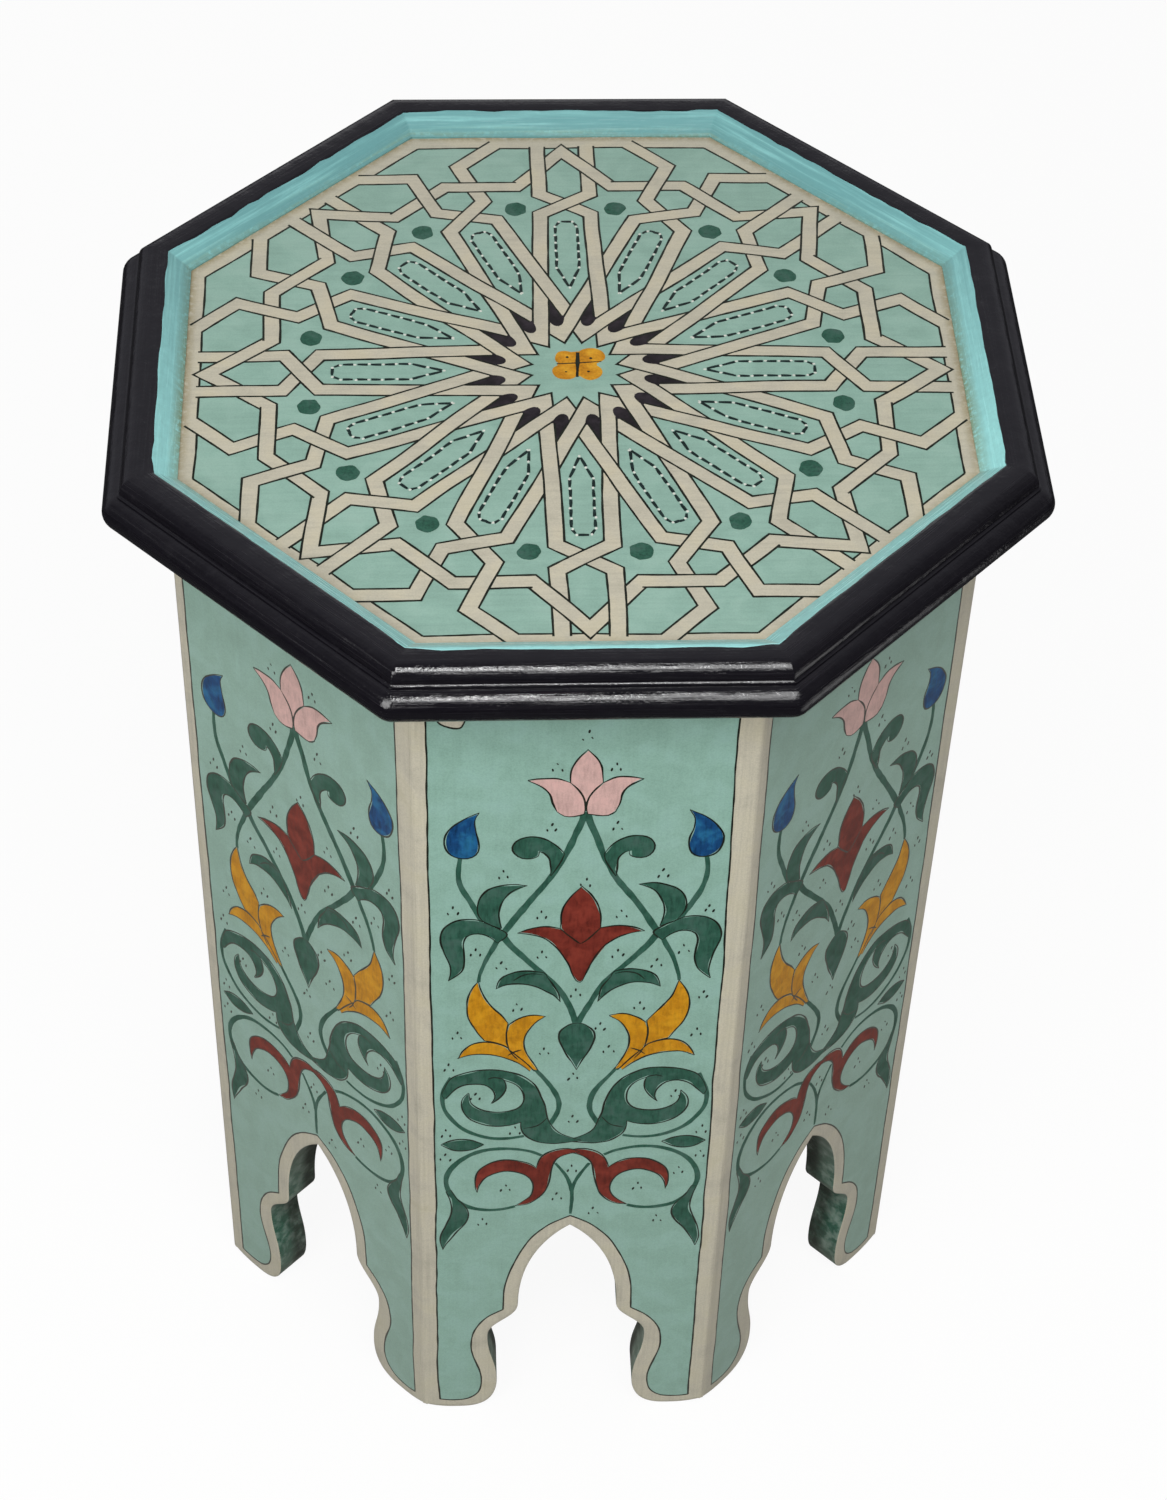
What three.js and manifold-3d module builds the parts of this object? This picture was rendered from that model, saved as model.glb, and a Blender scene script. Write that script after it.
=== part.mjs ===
// Octagonal side table of painted wood: eight mitred boards with keel arches carry a top board
// inside a moulded rim. Millimetres, +Z up, origin on the floor under the middle of the table.
// Every piece of one side is drawn for the front side, which faces -Y, and is then turned to its place.
import * as THREE from "three";
import { mergeVertices } from "three/addons/utils/BufferGeometryUtils.js";
import Module from "manifold-3d";

const wasm = await Module();
wasm.setup();

// The sides, anticlockwise from the front as seen from above
const sides = ["front", "front_right", "right", "back_right", "back", "back_left", "left", "front_left"];

// Body
const height = 533;
const bodyApothem = 165;
const boardThickness = 18;
const arrisRadius = 3;
const jointGap = 0.3;

// Keel arch cut into the foot of each board: half widths at their heights above the floor
const archHeight = 152;
const shoulderHeight = 88;
const shoulderHalfWidth = 23.3;
const hipHeight = 62;
const hipHalfWidth = 37.6;
const waistHeight = 23;
const waistHalfWidth = 33;
const footHalfWidth = 50;
const curveHandleShare = 0.45;
const keelTipAlongShare = 0.52;
const keelTipDropShare = 0.16;
const keelSideShare = 0.52;

// Top board, its place below the top of the rim, and the rebate that takes the rim's lip
const panelDrop = 7.9;
const panelThickness = 14;
const rebateDepth = 1.5;

// Rim moulding, from the inside out: lip and bevel, flat, bead, fillet, large round, base
const lipWidth = 4.5;
const lipEdge = 0.6;
const bevelWidth = 9.5;
const flatWidth = 6.5;
const beadRadius = 6.5;
const beadStem = 0.8;
const filletWidth = 1;
const filletDepth = 1.2;
const roundRadius = 8;
const roundSetback = 1.5;
const baseSetback = 4;
const baseDepth = 0.6;
const rimCornerRadius = 9;

// Glue blocks in the corners behind the mitres
const blockLeg = 24;
const blockLength = 300;

// Headless pins: in the edge of the top board, and down into the top of each side board
const pinRadius = 1;
const rimPinLength = 36;
const rimPinSpacing = 90;
const rimPinCover = 3;
const topPinLength = 38;
const topPinCover = 3;

// How finely round shapes are drawn, and how far cutting shapes overrun what they cut
const archSegments = 8;
const arrisSteps = 2;
const beadSteps = 5;
const roundSteps = 10;
const cornerSteps = 3;
const pinSegments = 8;
const cutOverrun = 5;

// Sizes worked out from the ones above
const halfTurn = Math.PI / sides.length;
const panelTop = height - panelDrop;
const panelUnderside = panelTop - panelThickness;
const boardTop = panelUnderside - jointGap;
const innerApothem = bodyApothem - boardThickness;
const rimPinLevel = panelTop - panelThickness / 2;
const pinBoreRadius = pinRadius + jointGap;

// Distance along a side from its middle to the mitre, at a given distance from the table's axis
function mitreReach(apothem) {
  return apothem * Math.tan(halfTurn) - jointGap / 2 / Math.cos(halfTurn);
}

function solidOf(geometry) {
  const bare = geometry.clone();
  bare.deleteAttribute("normal");
  bare.deleteAttribute("uv");
  const merged = mergeVertices(bare);
  const triVerts = new Uint32Array(merged.index.array);
  const vertProperties = merged.attributes.position.array;
  return new wasm.Manifold(new wasm.Mesh({ numProp: 3, vertProperties, triVerts }));
}

function geometryOf(solid) {
  const { numProp, vertProperties, triVerts } = solid.getMesh();
  const geometry = new THREE.BufferGeometry();
  const buffer = new THREE.InterleavedBuffer(vertProperties, numProp);
  geometry.setAttribute("position", new THREE.InterleavedBufferAttribute(buffer, 3, 0));
  geometry.setIndex(new THREE.BufferAttribute(triVerts, 1));
  const flat = geometry.toNonIndexed();
  flat.computeVertexNormals();
  return flat;
}

// A plan outline of [along the side, outward] points, raised between two heights
function standing(plan, bottom, top) {
  const shape = new THREE.Shape(plan.map(([along, outward]) => new THREE.Vector2(along, -outward)));
  const geometry = new THREE.ExtrudeGeometry(shape, { depth: top - bottom, bevelEnabled: false });
  return geometry.translate(0, 0, bottom);
}

// A pin or its bore, along the outward direction of the front side
function outwardPin(radius, innerEnd, outerEnd, along, level) {
  const geometry = new THREE.CylinderGeometry(radius, radius, outerEnd - innerEnd, pinSegments);
  return geometry.translate(along, -(innerEnd + outerEnd) / 2, level);
}

function uprightPin(radius, bottom, top, along, outward) {
  const geometry = new THREE.CylinderGeometry(radius, radius, top - bottom, pinSegments);
  geometry.rotateX(Math.PI / 2);
  return geometry.translate(along, -outward, (bottom + top) / 2);
}

function withoutBores(geometry, bores) {
  const solid = bores.reduce((left, bore) => left.subtract(solidOf(bore)), solidOf(geometry));
  return geometryOf(solid);
}

// Pins: each takes a clearance, which is zero for the pin and the joint gap for its bore
const roundDepth = Math.sqrt(roundRadius ** 2 - roundSetback ** 2);
const bevelApothem = bodyApothem - lipWidth + bevelWidth;
const roundApothem = bevelApothem + flatWidth + beadRadius + filletWidth - roundSetback;
const rimFaceApothem = roundApothem + roundRadius;
const rimPinOuterEnd = rimFaceApothem - rimPinCover;
const topPinOutward = bodyApothem - boardThickness / 2;

function rimPin(radius, clearance, along) {
  const innerEnd = rimPinOuterEnd - rimPinLength - clearance;
  return outwardPin(radius, innerEnd, rimPinOuterEnd + clearance, along, rimPinLevel);
}

function topPin(radius, clearance) {
  const top = panelTop - topPinCover + clearance;
  return uprightPin(radius, top - topPinLength - 2 * clearance, top, 0, topPinOutward);
}

const rimPinPlaces = [-rimPinSpacing / 2, rimPinSpacing / 2];
const rimPinBores = rimPinPlaces.map((along) => rimPin(pinBoreRadius, jointGap, along));
const topPinBore = topPin(pinBoreRadius, jointGap);

// Side board: its front outline with the arch, cut to its mitred plan
function curveDown(shape, fromAlong, fromLevel, toAlong, toLevel) {
  const handle = (fromLevel - toLevel) * curveHandleShare;
  shape.bezierCurveTo(fromAlong, fromLevel - handle, toAlong, toLevel + handle, toAlong, toLevel);
}

function boardOutline() {
  const halfWidth = bodyApothem * Math.tan(halfTurn) + cutOverrun;
  const shape = new THREE.Shape();
  shape.moveTo(-halfWidth, boardTop);
  shape.lineTo(-halfWidth, 0);
  shape.lineTo(-footHalfWidth, 0);
  shape.quadraticCurveTo(-waistHalfWidth, 0, -waistHalfWidth, waistHeight);
  curveDown(shape, -waistHalfWidth, waistHeight, -hipHalfWidth, hipHeight);
  curveDown(shape, -hipHalfWidth, hipHeight, -shoulderHalfWidth, shoulderHeight);
  const rise = archHeight - shoulderHeight;
  const sideLevel = shoulderHeight + keelSideShare * rise;
  const tipAlong = keelTipAlongShare * shoulderHalfWidth;
  const tipLevel = archHeight - keelTipDropShare * rise;
  shape.bezierCurveTo(-shoulderHalfWidth, sideLevel, -tipAlong, tipLevel, 0, archHeight);
  shape.bezierCurveTo(tipAlong, tipLevel, shoulderHalfWidth, sideLevel, shoulderHalfWidth, shoulderHeight);
  curveDown(shape, shoulderHalfWidth, shoulderHeight, hipHalfWidth, hipHeight);
  curveDown(shape, hipHalfWidth, hipHeight, waistHalfWidth, waistHeight);
  shape.quadraticCurveTo(waistHalfWidth, 0, footHalfWidth, 0);
  shape.lineTo(halfWidth, 0);
  shape.lineTo(halfWidth, boardTop);
  return shape;
}

function boardPlan() {
  const centreOutward = bodyApothem - arrisRadius;
  const centreAlong = mitreReach(centreOutward);
  const plan = [[mitreReach(innerApothem), innerApothem]];
  for (let step = arrisSteps; step >= 0; step -= 1) {
    const turn = (halfTurn * step) / arrisSteps;
    plan.push([centreAlong + arrisRadius * Math.sin(turn), centreOutward + arrisRadius * Math.cos(turn)]);
  }
  const mirrored = plan.map(([along, outward]) => [-along, outward]).reverse();
  return [...plan, ...mirrored];
}

function sideBoard() {
  const depth = boardThickness + 2 * cutOverrun;
  const options = { depth, bevelEnabled: false, curveSegments: archSegments };
  const front = new THREE.ExtrudeGeometry(boardOutline(), options);
  front.rotateX(Math.PI / 2);
  front.translate(0, -(innerApothem - cutOverrun), 0);
  const board = solidOf(front).intersect(solidOf(standing(boardPlan(), 0, boardTop)));
  return geometryOf(board.subtract(solidOf(topPinBore)));
}

function octagonalPlate(apothem, bottom, top) {
  const corner = apothem * Math.tan(halfTurn);
  const shape = sides.map((side, index) => {
    const point = new THREE.Vector2(corner, -apothem);
    return point.rotateAround(new THREE.Vector2(), 2 * halfTurn * index);
  });
  const options = { depth: top - bottom, bevelEnabled: false };
  return new THREE.ExtrudeGeometry(new THREE.Shape(shape), options).translate(0, 0, bottom);
}

// Top board: an octagon flush with the outside of the side boards, stepped down under the rim's lip
function topBoard() {
  const board = solidOf(octagonalPlate(bodyApothem, panelUnderside, panelTop - rebateDepth));
  const raised = solidOf(octagonalPlate(bodyApothem - lipWidth - jointGap, panelUnderside, panelTop));
  const bores = sides.flatMap((side, index) =>
    [...rimPinBores, topPinBore].map((bore) => bore.clone().rotateZ(2 * halfTurn * index)),
  );
  return withoutBores(geometryOf(board.add(raised)), bores);
}

// Rim moulding: its section as [outward, level] points, anticlockwise seen from the right-hand end
function rimSection() {
  const lipUnderside = panelTop - rebateDepth + jointGap;
  const section = [];
  let outward = bodyApothem - lipWidth;
  let level = panelTop + lipEdge;
  section.push([outward, lipUnderside], [outward, level]);
  outward += bevelWidth;
  section.push([outward, height]);
  outward += flatWidth;
  for (let step = 0; step <= beadSteps; step += 1) {
    const turn = (Math.PI / 2) * (step / beadSteps);
    section.push([outward + beadRadius * Math.sin(turn), height - beadRadius * (1 - Math.cos(turn))]);
  }
  outward += beadRadius;
  level = height - beadRadius - beadStem;
  section.push([outward, level], [outward + filletWidth, level]);
  const roundOutward = outward + filletWidth - roundSetback;
  const roundLevel = level - filletDepth - roundDepth;
  const start = Math.atan2(roundDepth, roundSetback);
  for (let step = 0; step <= roundSteps; step += 1) {
    const turn = start - ((start + Math.PI / 2) * step) / roundSteps;
    section.push([roundOutward + roundRadius * Math.cos(turn), roundLevel + roundRadius * Math.sin(turn)]);
  }
  const base = roundLevel - roundRadius - baseDepth;
  const innerFace = bodyApothem + jointGap;
  section.push([roundOutward - baseSetback, roundLevel - roundRadius], [roundOutward - baseSetback, base]);
  section.push([innerFace, base], [innerFace, lipUnderside]);
  return section;
}

// The section runs straight along the side, and what lies outside the corner's centre turns round it
function rimMoulding() {
  const section = rimSection();
  const cornerCentre = rimFaceApothem - rimCornerRadius;
  const cornerRun = rimCornerRadius * Math.sin(halfTurn);
  const stations = [];
  for (let step = -cornerSteps; step <= cornerSteps; step += 1) {
    if (step === 0) stations.push([-1, 0], [1, 0]);
    else stations.push([Math.sign(step), Math.abs(step) / cornerSteps]);
  }
  const positions = [];
  for (const [end, turnShare] of stations) {
    for (const [outward, level] of section) {
      const round = outward - cornerCentre;
      const turn = halfTurn * turnShare;
      if (round > 0) {
        const along = mitreReach(cornerCentre) + round * Math.sin(turn);
        positions.push(end * along, -(cornerCentre + round * Math.cos(turn)), level);
      } else {
        positions.push(end * (mitreReach(outward) - (1 - turnShare) * cornerRun), -outward, level);
      }
    }
  }
  const count = section.length;
  const last = (stations.length - 1) * count;
  const index = [];
  for (let station = 0; station < stations.length - 1; station += 1) {
    for (let point = 0; point < count; point += 1) {
      const here = station * count + point;
      const next = station * count + ((point + 1) % count);
      index.push(here, next, here + count, next, next + count, here + count);
    }
  }
  const contour = section.map(([outward, level]) => new THREE.Vector2(outward, level));
  for (const [a, b, c] of THREE.ShapeUtils.triangulateShape(contour, [])) {
    index.push(a, b, c, last + a, last + c, last + b);
  }
  const geometry = new THREE.BufferGeometry();
  geometry.setAttribute("position", new THREE.Float32BufferAttribute(positions, 3));
  geometry.setIndex(index);
  return withoutBores(geometry, rimPinBores);
}

// Glue block: a prism against both boards at the corner to the right of the front side
function cornerBlock() {
  const corner = (innerApothem - jointGap) / Math.cos(halfTurn);
  const plan = [0, 1, -1].map((end) => {
    const turn = halfTurn + end * (Math.PI - (Math.PI - 2 * halfTurn) / 2);
    const leg = end === 0 ? 0 : blockLeg;
    const along = corner * Math.sin(halfTurn) + leg * Math.sin(turn);
    return [along, corner * Math.cos(halfTurn) + leg * Math.cos(turn)];
  });
  return standing(plan, boardTop - jointGap - blockLength, boardTop - jointGap);
}

const paintedWood = new THREE.MeshStandardMaterial({ color: 0x8fb8a5, roughness: 0.6, metalness: 0 });
const blackLacquer = new THREE.MeshStandardMaterial({ color: 0x1e1c20, roughness: 0.25, metalness: 0 });
const bareWood = new THREE.MeshStandardMaterial({ color: 0xb58f62, roughness: 0.8, metalness: 0 });
const steel = new THREE.MeshStandardMaterial({ color: 0x8a8a88, roughness: 0.4, metalness: 1 });

const table = new THREE.Group();

function add(name, geometry, material, index) {
  const mesh = new THREE.Mesh(geometry, material);
  mesh.name = name;
  mesh.rotation.z = 2 * halfTurn * index;
  table.add(mesh);
}

const pieces = {
  board: sideBoard(),
  moulding: rimMoulding(),
  block: cornerBlock(),
  topPin: topPin(pinRadius, 0),
  rimPins: rimPinPlaces.map((along) => rimPin(pinRadius, 0, along)),
};

add("top_board", topBoard(), paintedWood, 0);
sides.forEach((side, index) => {
  const next = sides[(index + 1) % sides.length];
  add(`side_board_${side}`, pieces.board, paintedWood, index);
  add(`rim_moulding_${side}`, pieces.moulding, blackLacquer, index);
  add(`corner_block_${side}_to_${next}`, pieces.block, bareWood, index);
  add(`top_pin_${side}`, pieces.topPin, steel, index);
  add(`rim_pin_${side}_a`, pieces.rimPins[0], steel, index);
  add(`rim_pin_${side}_b`, pieces.rimPins[1], steel, index);
});

export default table;
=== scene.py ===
"""Octagonal painted stool: its boards, lacquered rim and hand-painted ornament, on the CAD frame.

The add-on's panel lists one operator for each group of pieces. Sizes are in millimetres, and
MM turns them to metres. A side's ornament is drawn on a sheet of its own: x to the right of the
board's middle, y down from the top of the rim. The star is drawn on a sheet with x to the right
of an axis of the table and y outwards along it.
"""
import math

import bpy
import numpy as np
from mathutils import Matrix, Vector, noise
from mathutils.geometry import delaunay_2d_cdt, interpolate_bezier


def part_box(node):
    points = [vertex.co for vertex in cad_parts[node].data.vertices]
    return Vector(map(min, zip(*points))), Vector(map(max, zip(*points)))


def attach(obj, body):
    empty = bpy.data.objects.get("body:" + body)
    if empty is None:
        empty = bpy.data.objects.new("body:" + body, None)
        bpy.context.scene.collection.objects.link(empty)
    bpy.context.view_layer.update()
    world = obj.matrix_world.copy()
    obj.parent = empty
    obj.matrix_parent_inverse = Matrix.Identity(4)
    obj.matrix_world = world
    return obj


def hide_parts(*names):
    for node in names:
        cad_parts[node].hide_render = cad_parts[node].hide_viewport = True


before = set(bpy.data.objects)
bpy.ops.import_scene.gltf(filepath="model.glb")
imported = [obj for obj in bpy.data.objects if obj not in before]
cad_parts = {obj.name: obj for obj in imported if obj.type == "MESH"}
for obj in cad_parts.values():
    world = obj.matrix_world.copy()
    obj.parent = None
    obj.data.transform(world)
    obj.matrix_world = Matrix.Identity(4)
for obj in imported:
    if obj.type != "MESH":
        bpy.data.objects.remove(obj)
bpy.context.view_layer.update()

bl_info = {
    "name": "Painted Octagonal Stool",
    "version": (1, 0, 0),
    "blender": (4, 5, 0),
    "location": "View3D > Sidebar > Stool",
    "description": "Boards, lacquered rim and hand-painted ornament of an octagonal stool",
    "category": "Add Mesh",
}

MM = 0.001
noise.seed_set(7)  # without a seed, noise_vector is shifted by the clock and no two runs are alike

# The sides, anticlockwise from the front as seen from above
SIDES = ["front", "front_right", "right", "back_right", "back", "back_left", "left", "front_left"]
TURN = 2 * math.pi / len(SIDES)
HALF_TURN = TURN / 2

# Sizes read from the frame, in millimetres
RIM_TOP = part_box("rim_moulding_front")[1].z / MM
RIM_FACE = -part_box("rim_moulding_front")[0].y / MM
PANEL_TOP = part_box("top_board")[1].z / MM
BOARD_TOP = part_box("side_board_front")[1].z / MM
BODY_FACE = -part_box("side_board_front")[0].y / MM
BODY_INSIDE = -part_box("side_board_front")[1].y / MM
BOARD_HALF_WIDTH = BODY_FACE * math.tan(HALF_TURN)


def linear(code):
    """An sRGB hex colour as linear red, green, blue and alpha."""
    shares = [int(code[i : i + 2], 16) / 255 for i in (1, 3, 5)]
    return (*[s / 12.92 if s <= 0.04045 else ((s + 0.055) / 1.055) ** 2.4 for s in shares], 1.0)


# ---------------------------------------------------------------- sizes and colours a user may change


def length_property(name, description, size):
    """A length in millimetres that a user may change."""
    return bpy.props.FloatProperty(
        name=name, description=description, default=size * MM, unit="LENGTH", subtype="DISTANCE"
    )


class StoolSizes(bpy.types.PropertyGroup):
    arris: length_property("Arris", "Radius of the rounded corners between the boards", 3)
    worn_edge: length_property("Worn edge", "Width of the rounding on the cut edges of the boards", 0.8)
    paint: length_property("Paint", "Height of the painted ornament above its board", 0.08)
    outline: length_property("Outline", "Width of the dark outlines drawn round each shape", 0.75)
    band: length_property("Band", "Width of the woven bands of the star", 7.5)
    side_sway: length_property("Sway on the sides", "How far the hand-drawn ornament strays", 1.1)
    star_sway: length_property("Sway of the star", "How far the hand-drawn star strays", 1.3)
    star_sway_length: length_property("Length of the star's sway", "How far apart it strays on its own", 40)
    star_drift: bpy.props.FloatVectorProperty(
        name="Drift of the star", description="How far the star was drawn off its centre, at its border",
        default=(0, -2.0 * MM, 0), unit="LENGTH", subtype="TRANSLATION",
    )


def colour_property(name, description, code):
    return bpy.props.FloatVectorProperty(
        name=name, description=description, default=linear(code), size=4, min=0, max=1, subtype="COLOR"
    )


class StoolColours(bpy.types.PropertyGroup):
    mint: colour_property("Mint", "Ground paint of the boards", "#8EB4A5")
    mint_top: colour_property("Mint of the top", "The same paint, paler where it is worn by use", "#90B3A5")
    cream: colour_property("Cream", "Margins and woven bands", "#CAC4B1")
    teal: colour_property("Teal", "Gloss paint on the bevel inside the rim", "#9CDCDA")
    black: colour_property("Black", "Lacquer of the rim", "#0F0D13")
    kite: colour_property("Kite black", "Thin black paint of the kites", "#252024")
    ink: colour_property("Ink", "Outlines and dots", "#20251C")
    dash: colour_property("Dash", "Dashes of the hexagons", "#1C2E2C")
    green: colour_property("Green", "Leaves, stems and scrolls", "#31604F")
    pink: colour_property("Pink", "Upper tulips", "#CEAAA3")
    red: colour_property("Red", "Middle tulips and lower scrolls", "#762B20")
    blue: colour_property("Blue", "Buds", "#0E4A80")
    ochre: colour_property("Ochre", "Lilies at the sides", "#C58604")
    orange: colour_property("Orange", "Flower in the middle of the top", "#C98717")
    edge_green: colour_property("Edge green", "Paint on the cut edges of the arches", "#446E5C")
    wood: colour_property("Wood", "Bare wood inside", "#A98458")


# ---------------------------------------------------------------- materials


UPRIGHT = (0, 0, 1)
LEVEL = (1, 0, 0)
WHITE = (1, 1, 1, 1)
NOISE = "ShaderNodeTexNoise"
RANGE = "ShaderNodeMapRange"
RAMP = "ShaderNodeValToRGB"
MATH = "ShaderNodeMath"
VECTOR_MATH = "ShaderNodeVectorMath"
MIX = "ShaderNodeMix"
# Roughnesses of a paint where its coat is full and where the bristles dragged it thin
SATIN = (0.42, 0.58)
POLISHED = (0.36, 0.52)
THIN = (0.4, 0.55)
GLAZE = {"data_type": "RGBA", "blend_type": "MULTIPLY"}
COLOUR_MIX = {"data_type": "RGBA"}
# Pale grey that a brushed paint turns towards where it is seen at a slant: a dusty film and a painted sheen
DUST_AND_SHEEN = linear("#A39F97")
GRAIN_SIZE = 0.7  # finest pattern of a brushed paint, about a pixel wide in the render
# Distances out over which the cream border is soiled: the dirt that gathers below the rim
BORDER_DIRT = (156.5, 160.6)
# ... and the bevel, from its edge in to its foot
BEVEL_DIRT = (165.0, 160.6)
# ... and all of the bevel, which painted shade darkens towards the back
BEVEL_PAINTED_SHADE = (150, 151)
# ... and the cut edges, from half of their depth in
BARE_EDGE = (BODY_FACE - 7, BODY_FACE - 12)


def feed(node, inputs):
    """Sets a node's inputs, given by name or in order. Each takes a value, an output, or a node, which
    stands for its first output in use."""
    for key, value in inputs.items() if isinstance(inputs, dict) else enumerate(inputs):
        if isinstance(value, bpy.types.Node):
            value = next(output for output in value.outputs if output.enabled)
        if isinstance(value, bpy.types.NodeSocket):
            node.id_data.links.new(value, node.inputs[key])
        else:
            node.inputs[key].default_value = value
    return node


def add(tree, kind, settings=None, inputs=()):
    """Adds a node with its settings, where the stops of a colour ramp count as one, and its inputs."""
    node = tree.nodes.new(kind)
    for key, value in (settings or {}).items():
        if key != "stops":
            setattr(node, key, value)
            continue
        elements = node.color_ramp.elements
        while len(elements) < len(value):
            elements.new(0.5)
        for element, (place, colour) in zip(elements, value):
            element.position = place
            element.color = colour
    return feed(node, inputs)


def per(size):
    """Noise scale for a pattern whose marks are that many millimetres across."""
    return 1 / (size * MM)


def scaled(colour, share):
    return (*[min(1, c * share) for c in colour[:3]], 1.0)


def new_finish(name):
    """A new material with its node tree and its shader."""
    material = bpy.data.materials.new(name)
    material.use_nodes = True
    return material, material.node_tree, material.node_tree.nodes["Principled BSDF"]


def brushed_paint(
    name, colour, *, along, streak=1.6, streak_length=45, contrast=0.10, blotch=28, blotch_contrast=0.08,
    grain=0.05, roughness=SATIN, relief=0.03, tint=None, tint_share=0.25, dust_and_sheen=0.40,
):
    """Oil or emulsion paint laid on with a brush: streaks along one direction, blotches where the coat
    is thin or dirty, fine grain, a little relief from the bristles, and a pale dusty grey over the paint
    where it is seen at a slant, which is also a painted sheen. Lengths are in millimetres."""
    material, tree, shader = new_finish(name)
    place = add(tree, "ShaderNodeTexCoord").outputs["Object"]
    stretch = [streak / streak_length if share else 1 for share in along]
    strokes = add(tree, "ShaderNodeMapping", inputs={"Vector": place, "Scale": stretch})
    bristles, clouds, grains = (add(tree, NOISE, inputs=inputs) for inputs in (
        {"Vector": strokes, "Scale": per(streak), "Detail": 4, "Roughness": 0.62},
        {"Vector": place, "Scale": per(blotch), "Detail": 3, "Roughness": 0.55, "Distortion": 0.4},
        {"Vector": place, "Scale": per(GRAIN_SIZE), "Detail": 2, "Roughness": 0.6},
    ))
    dark, pale = scaled(colour, 1 - 1.6 * contrast), scaled(colour, 1 + contrast)
    painted, veil, speckled = (add(tree, RAMP, {"stops": stops}, {"Fac": pattern}) for pattern, stops in (
        (bristles, [(0.28, dark), (0.5, colour), (0.74, pale)]),
        (clouds, [(0.3, scaled(WHITE, 1 - 1.5 * blotch_contrast)), (0.62, WHITE)]),
        (grains, [(0.32, scaled(WHITE, 1 - grain * 2)), (0.6, WHITE)]),
    ))
    for layer in (veil, speckled):
        painted = add(tree, MIX, GLAZE, {"Factor": 1, "A": painted, "B": layer})
    # Seen at a slant, the paint turns towards a pale grey: a dusty film and a painted sheen
    slant = add(tree, "ShaderNodeLayerWeight", inputs={"Blend": 0.5}).outputs["Facing"]
    covers = [(slant, 0.36, 0.8, dust_and_sheen, DUST_AND_SHEEN)]
    if tint:
        covers.insert(0, (clouds, 0.45, 0.75, tint_share, tint))
    for pattern, low, high, most, over_paint in covers:
        share = add(tree, RANGE, inputs={"Value": pattern, "From Min": low, "From Max": high, "To Max": most})
        painted = add(tree, MIX, COLOUR_MIX, {"Factor": share, "A": painted, "B": over_paint})
    full, thin = roughness
    gloss = add(tree, RANGE, inputs={
        "Value": bristles, "From Min": 0.3, "From Max": 0.7, "To Min": full, "To Max": thin,
    })
    bump = add(tree, "ShaderNodeBump", inputs={"Strength": 1, "Distance": relief * MM, "Height": bristles})
    feed(shader, {"Base Color": painted, "Roughness": gloss, "Normal": bump, "Specular IOR Level": 0.22})
    return material


def apothem(tree, place):
    """A point's distance from the stool's axis, square to the side of the octagon that it is on."""
    parts = add(tree, "ShaderNodeSeparateXYZ", inputs=(place,))
    x, y = (add(tree, MATH, {"operation": "ABSOLUTE"}, (parts.outputs[i],)) for i in (0, 1))
    square = add(tree, MATH, {"operation": "MAXIMUM"}, (x, y))
    both = add(tree, MATH, {"operation": "ADD"}, (x, y))
    corner = add(tree, MATH, {"operation": "MULTIPLY"}, (both, math.sqrt(0.5)))
    return add(tree, MATH, {"operation": "MAXIMUM"}, (square, corner))


def brush_marks(tree, place, width, length):
    """Noise drawn out along every side of the rim, as a brush led round it leaves."""
    stretch = (width / length, width / length, 1)
    drawn = add(tree, "ShaderNodeMapping", inputs={"Vector": place, "Scale": stretch})
    return add(tree, NOISE, {"noise_dimensions": "4D"}, {
        "Vector": drawn, "W": apothem(tree, place), "Scale": per(width), "Detail": 3, "Roughness": 0.6,
    })


def gloss_coat(
    name, colour, *, mark, mark_length, mark_height, mark_contrast, grit, grit_height, wave, wave_height,
    roughness, dull, dust_and_sheen, speck, mirror,
):
    """Gloss enamel or lacquer brushed on thickly: brush marks along each side and grit under the film
    break its highlights up, long sags bend them, and dust lies on it in faint paler patches. Lengths
    are in millimetres."""
    material, tree, shader = new_finish(name)
    place = add(tree, "ShaderNodeTexCoord").outputs["Object"]
    marks = brush_marks(tree, place, mark, mark_length)
    waves, grits, specks = (
        add(tree, NOISE, inputs={"Vector": place, "Scale": per(size), "Detail": detail, "Roughness": rough})
        for size, detail, rough in ((wave, 2, 0.45), (grit, 2, 0.5), (speck, 6, 0.75))
    )
    dusty = (*[c + dust_and_sheen * 0.1 for c in scaled(colour, 1 + dust_and_sheen)[:3]], 1)
    film, streaks = (add(tree, RAMP, {"stops": stops}, {"Fac": pattern}) for pattern, stops in (
        (specks, [(0.35, scaled(colour, 0.9)), (0.55, colour), (0.8, dusty)]),
        (marks, [(0.3, scaled(WHITE, 1 - 2 * mark_contrast)), (0.62, WHITE)]),
    ))
    film = add(tree, MIX, GLAZE, {"Factor": 1, "A": film, "B": streaks})
    haze = add(tree, RANGE, inputs={
        "Value": marks, "From Min": 0.42, "From Max": 0.68, "To Min": roughness, "To Max": roughness + dull,
    })
    relief = {}
    for pattern, height in ((waves, wave_height), (marks, mark_height), (grits, grit_height)):
        bump = {"Strength": 1, "Distance": height * MM, "Height": pattern}
        relief = {"Normal": add(tree, "ShaderNodeBump", inputs=bump | relief)}
    feed(shader, {"Base Color": film, "Roughness": haze, "Specular IOR Level": mirror} | relief)
    return material


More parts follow.
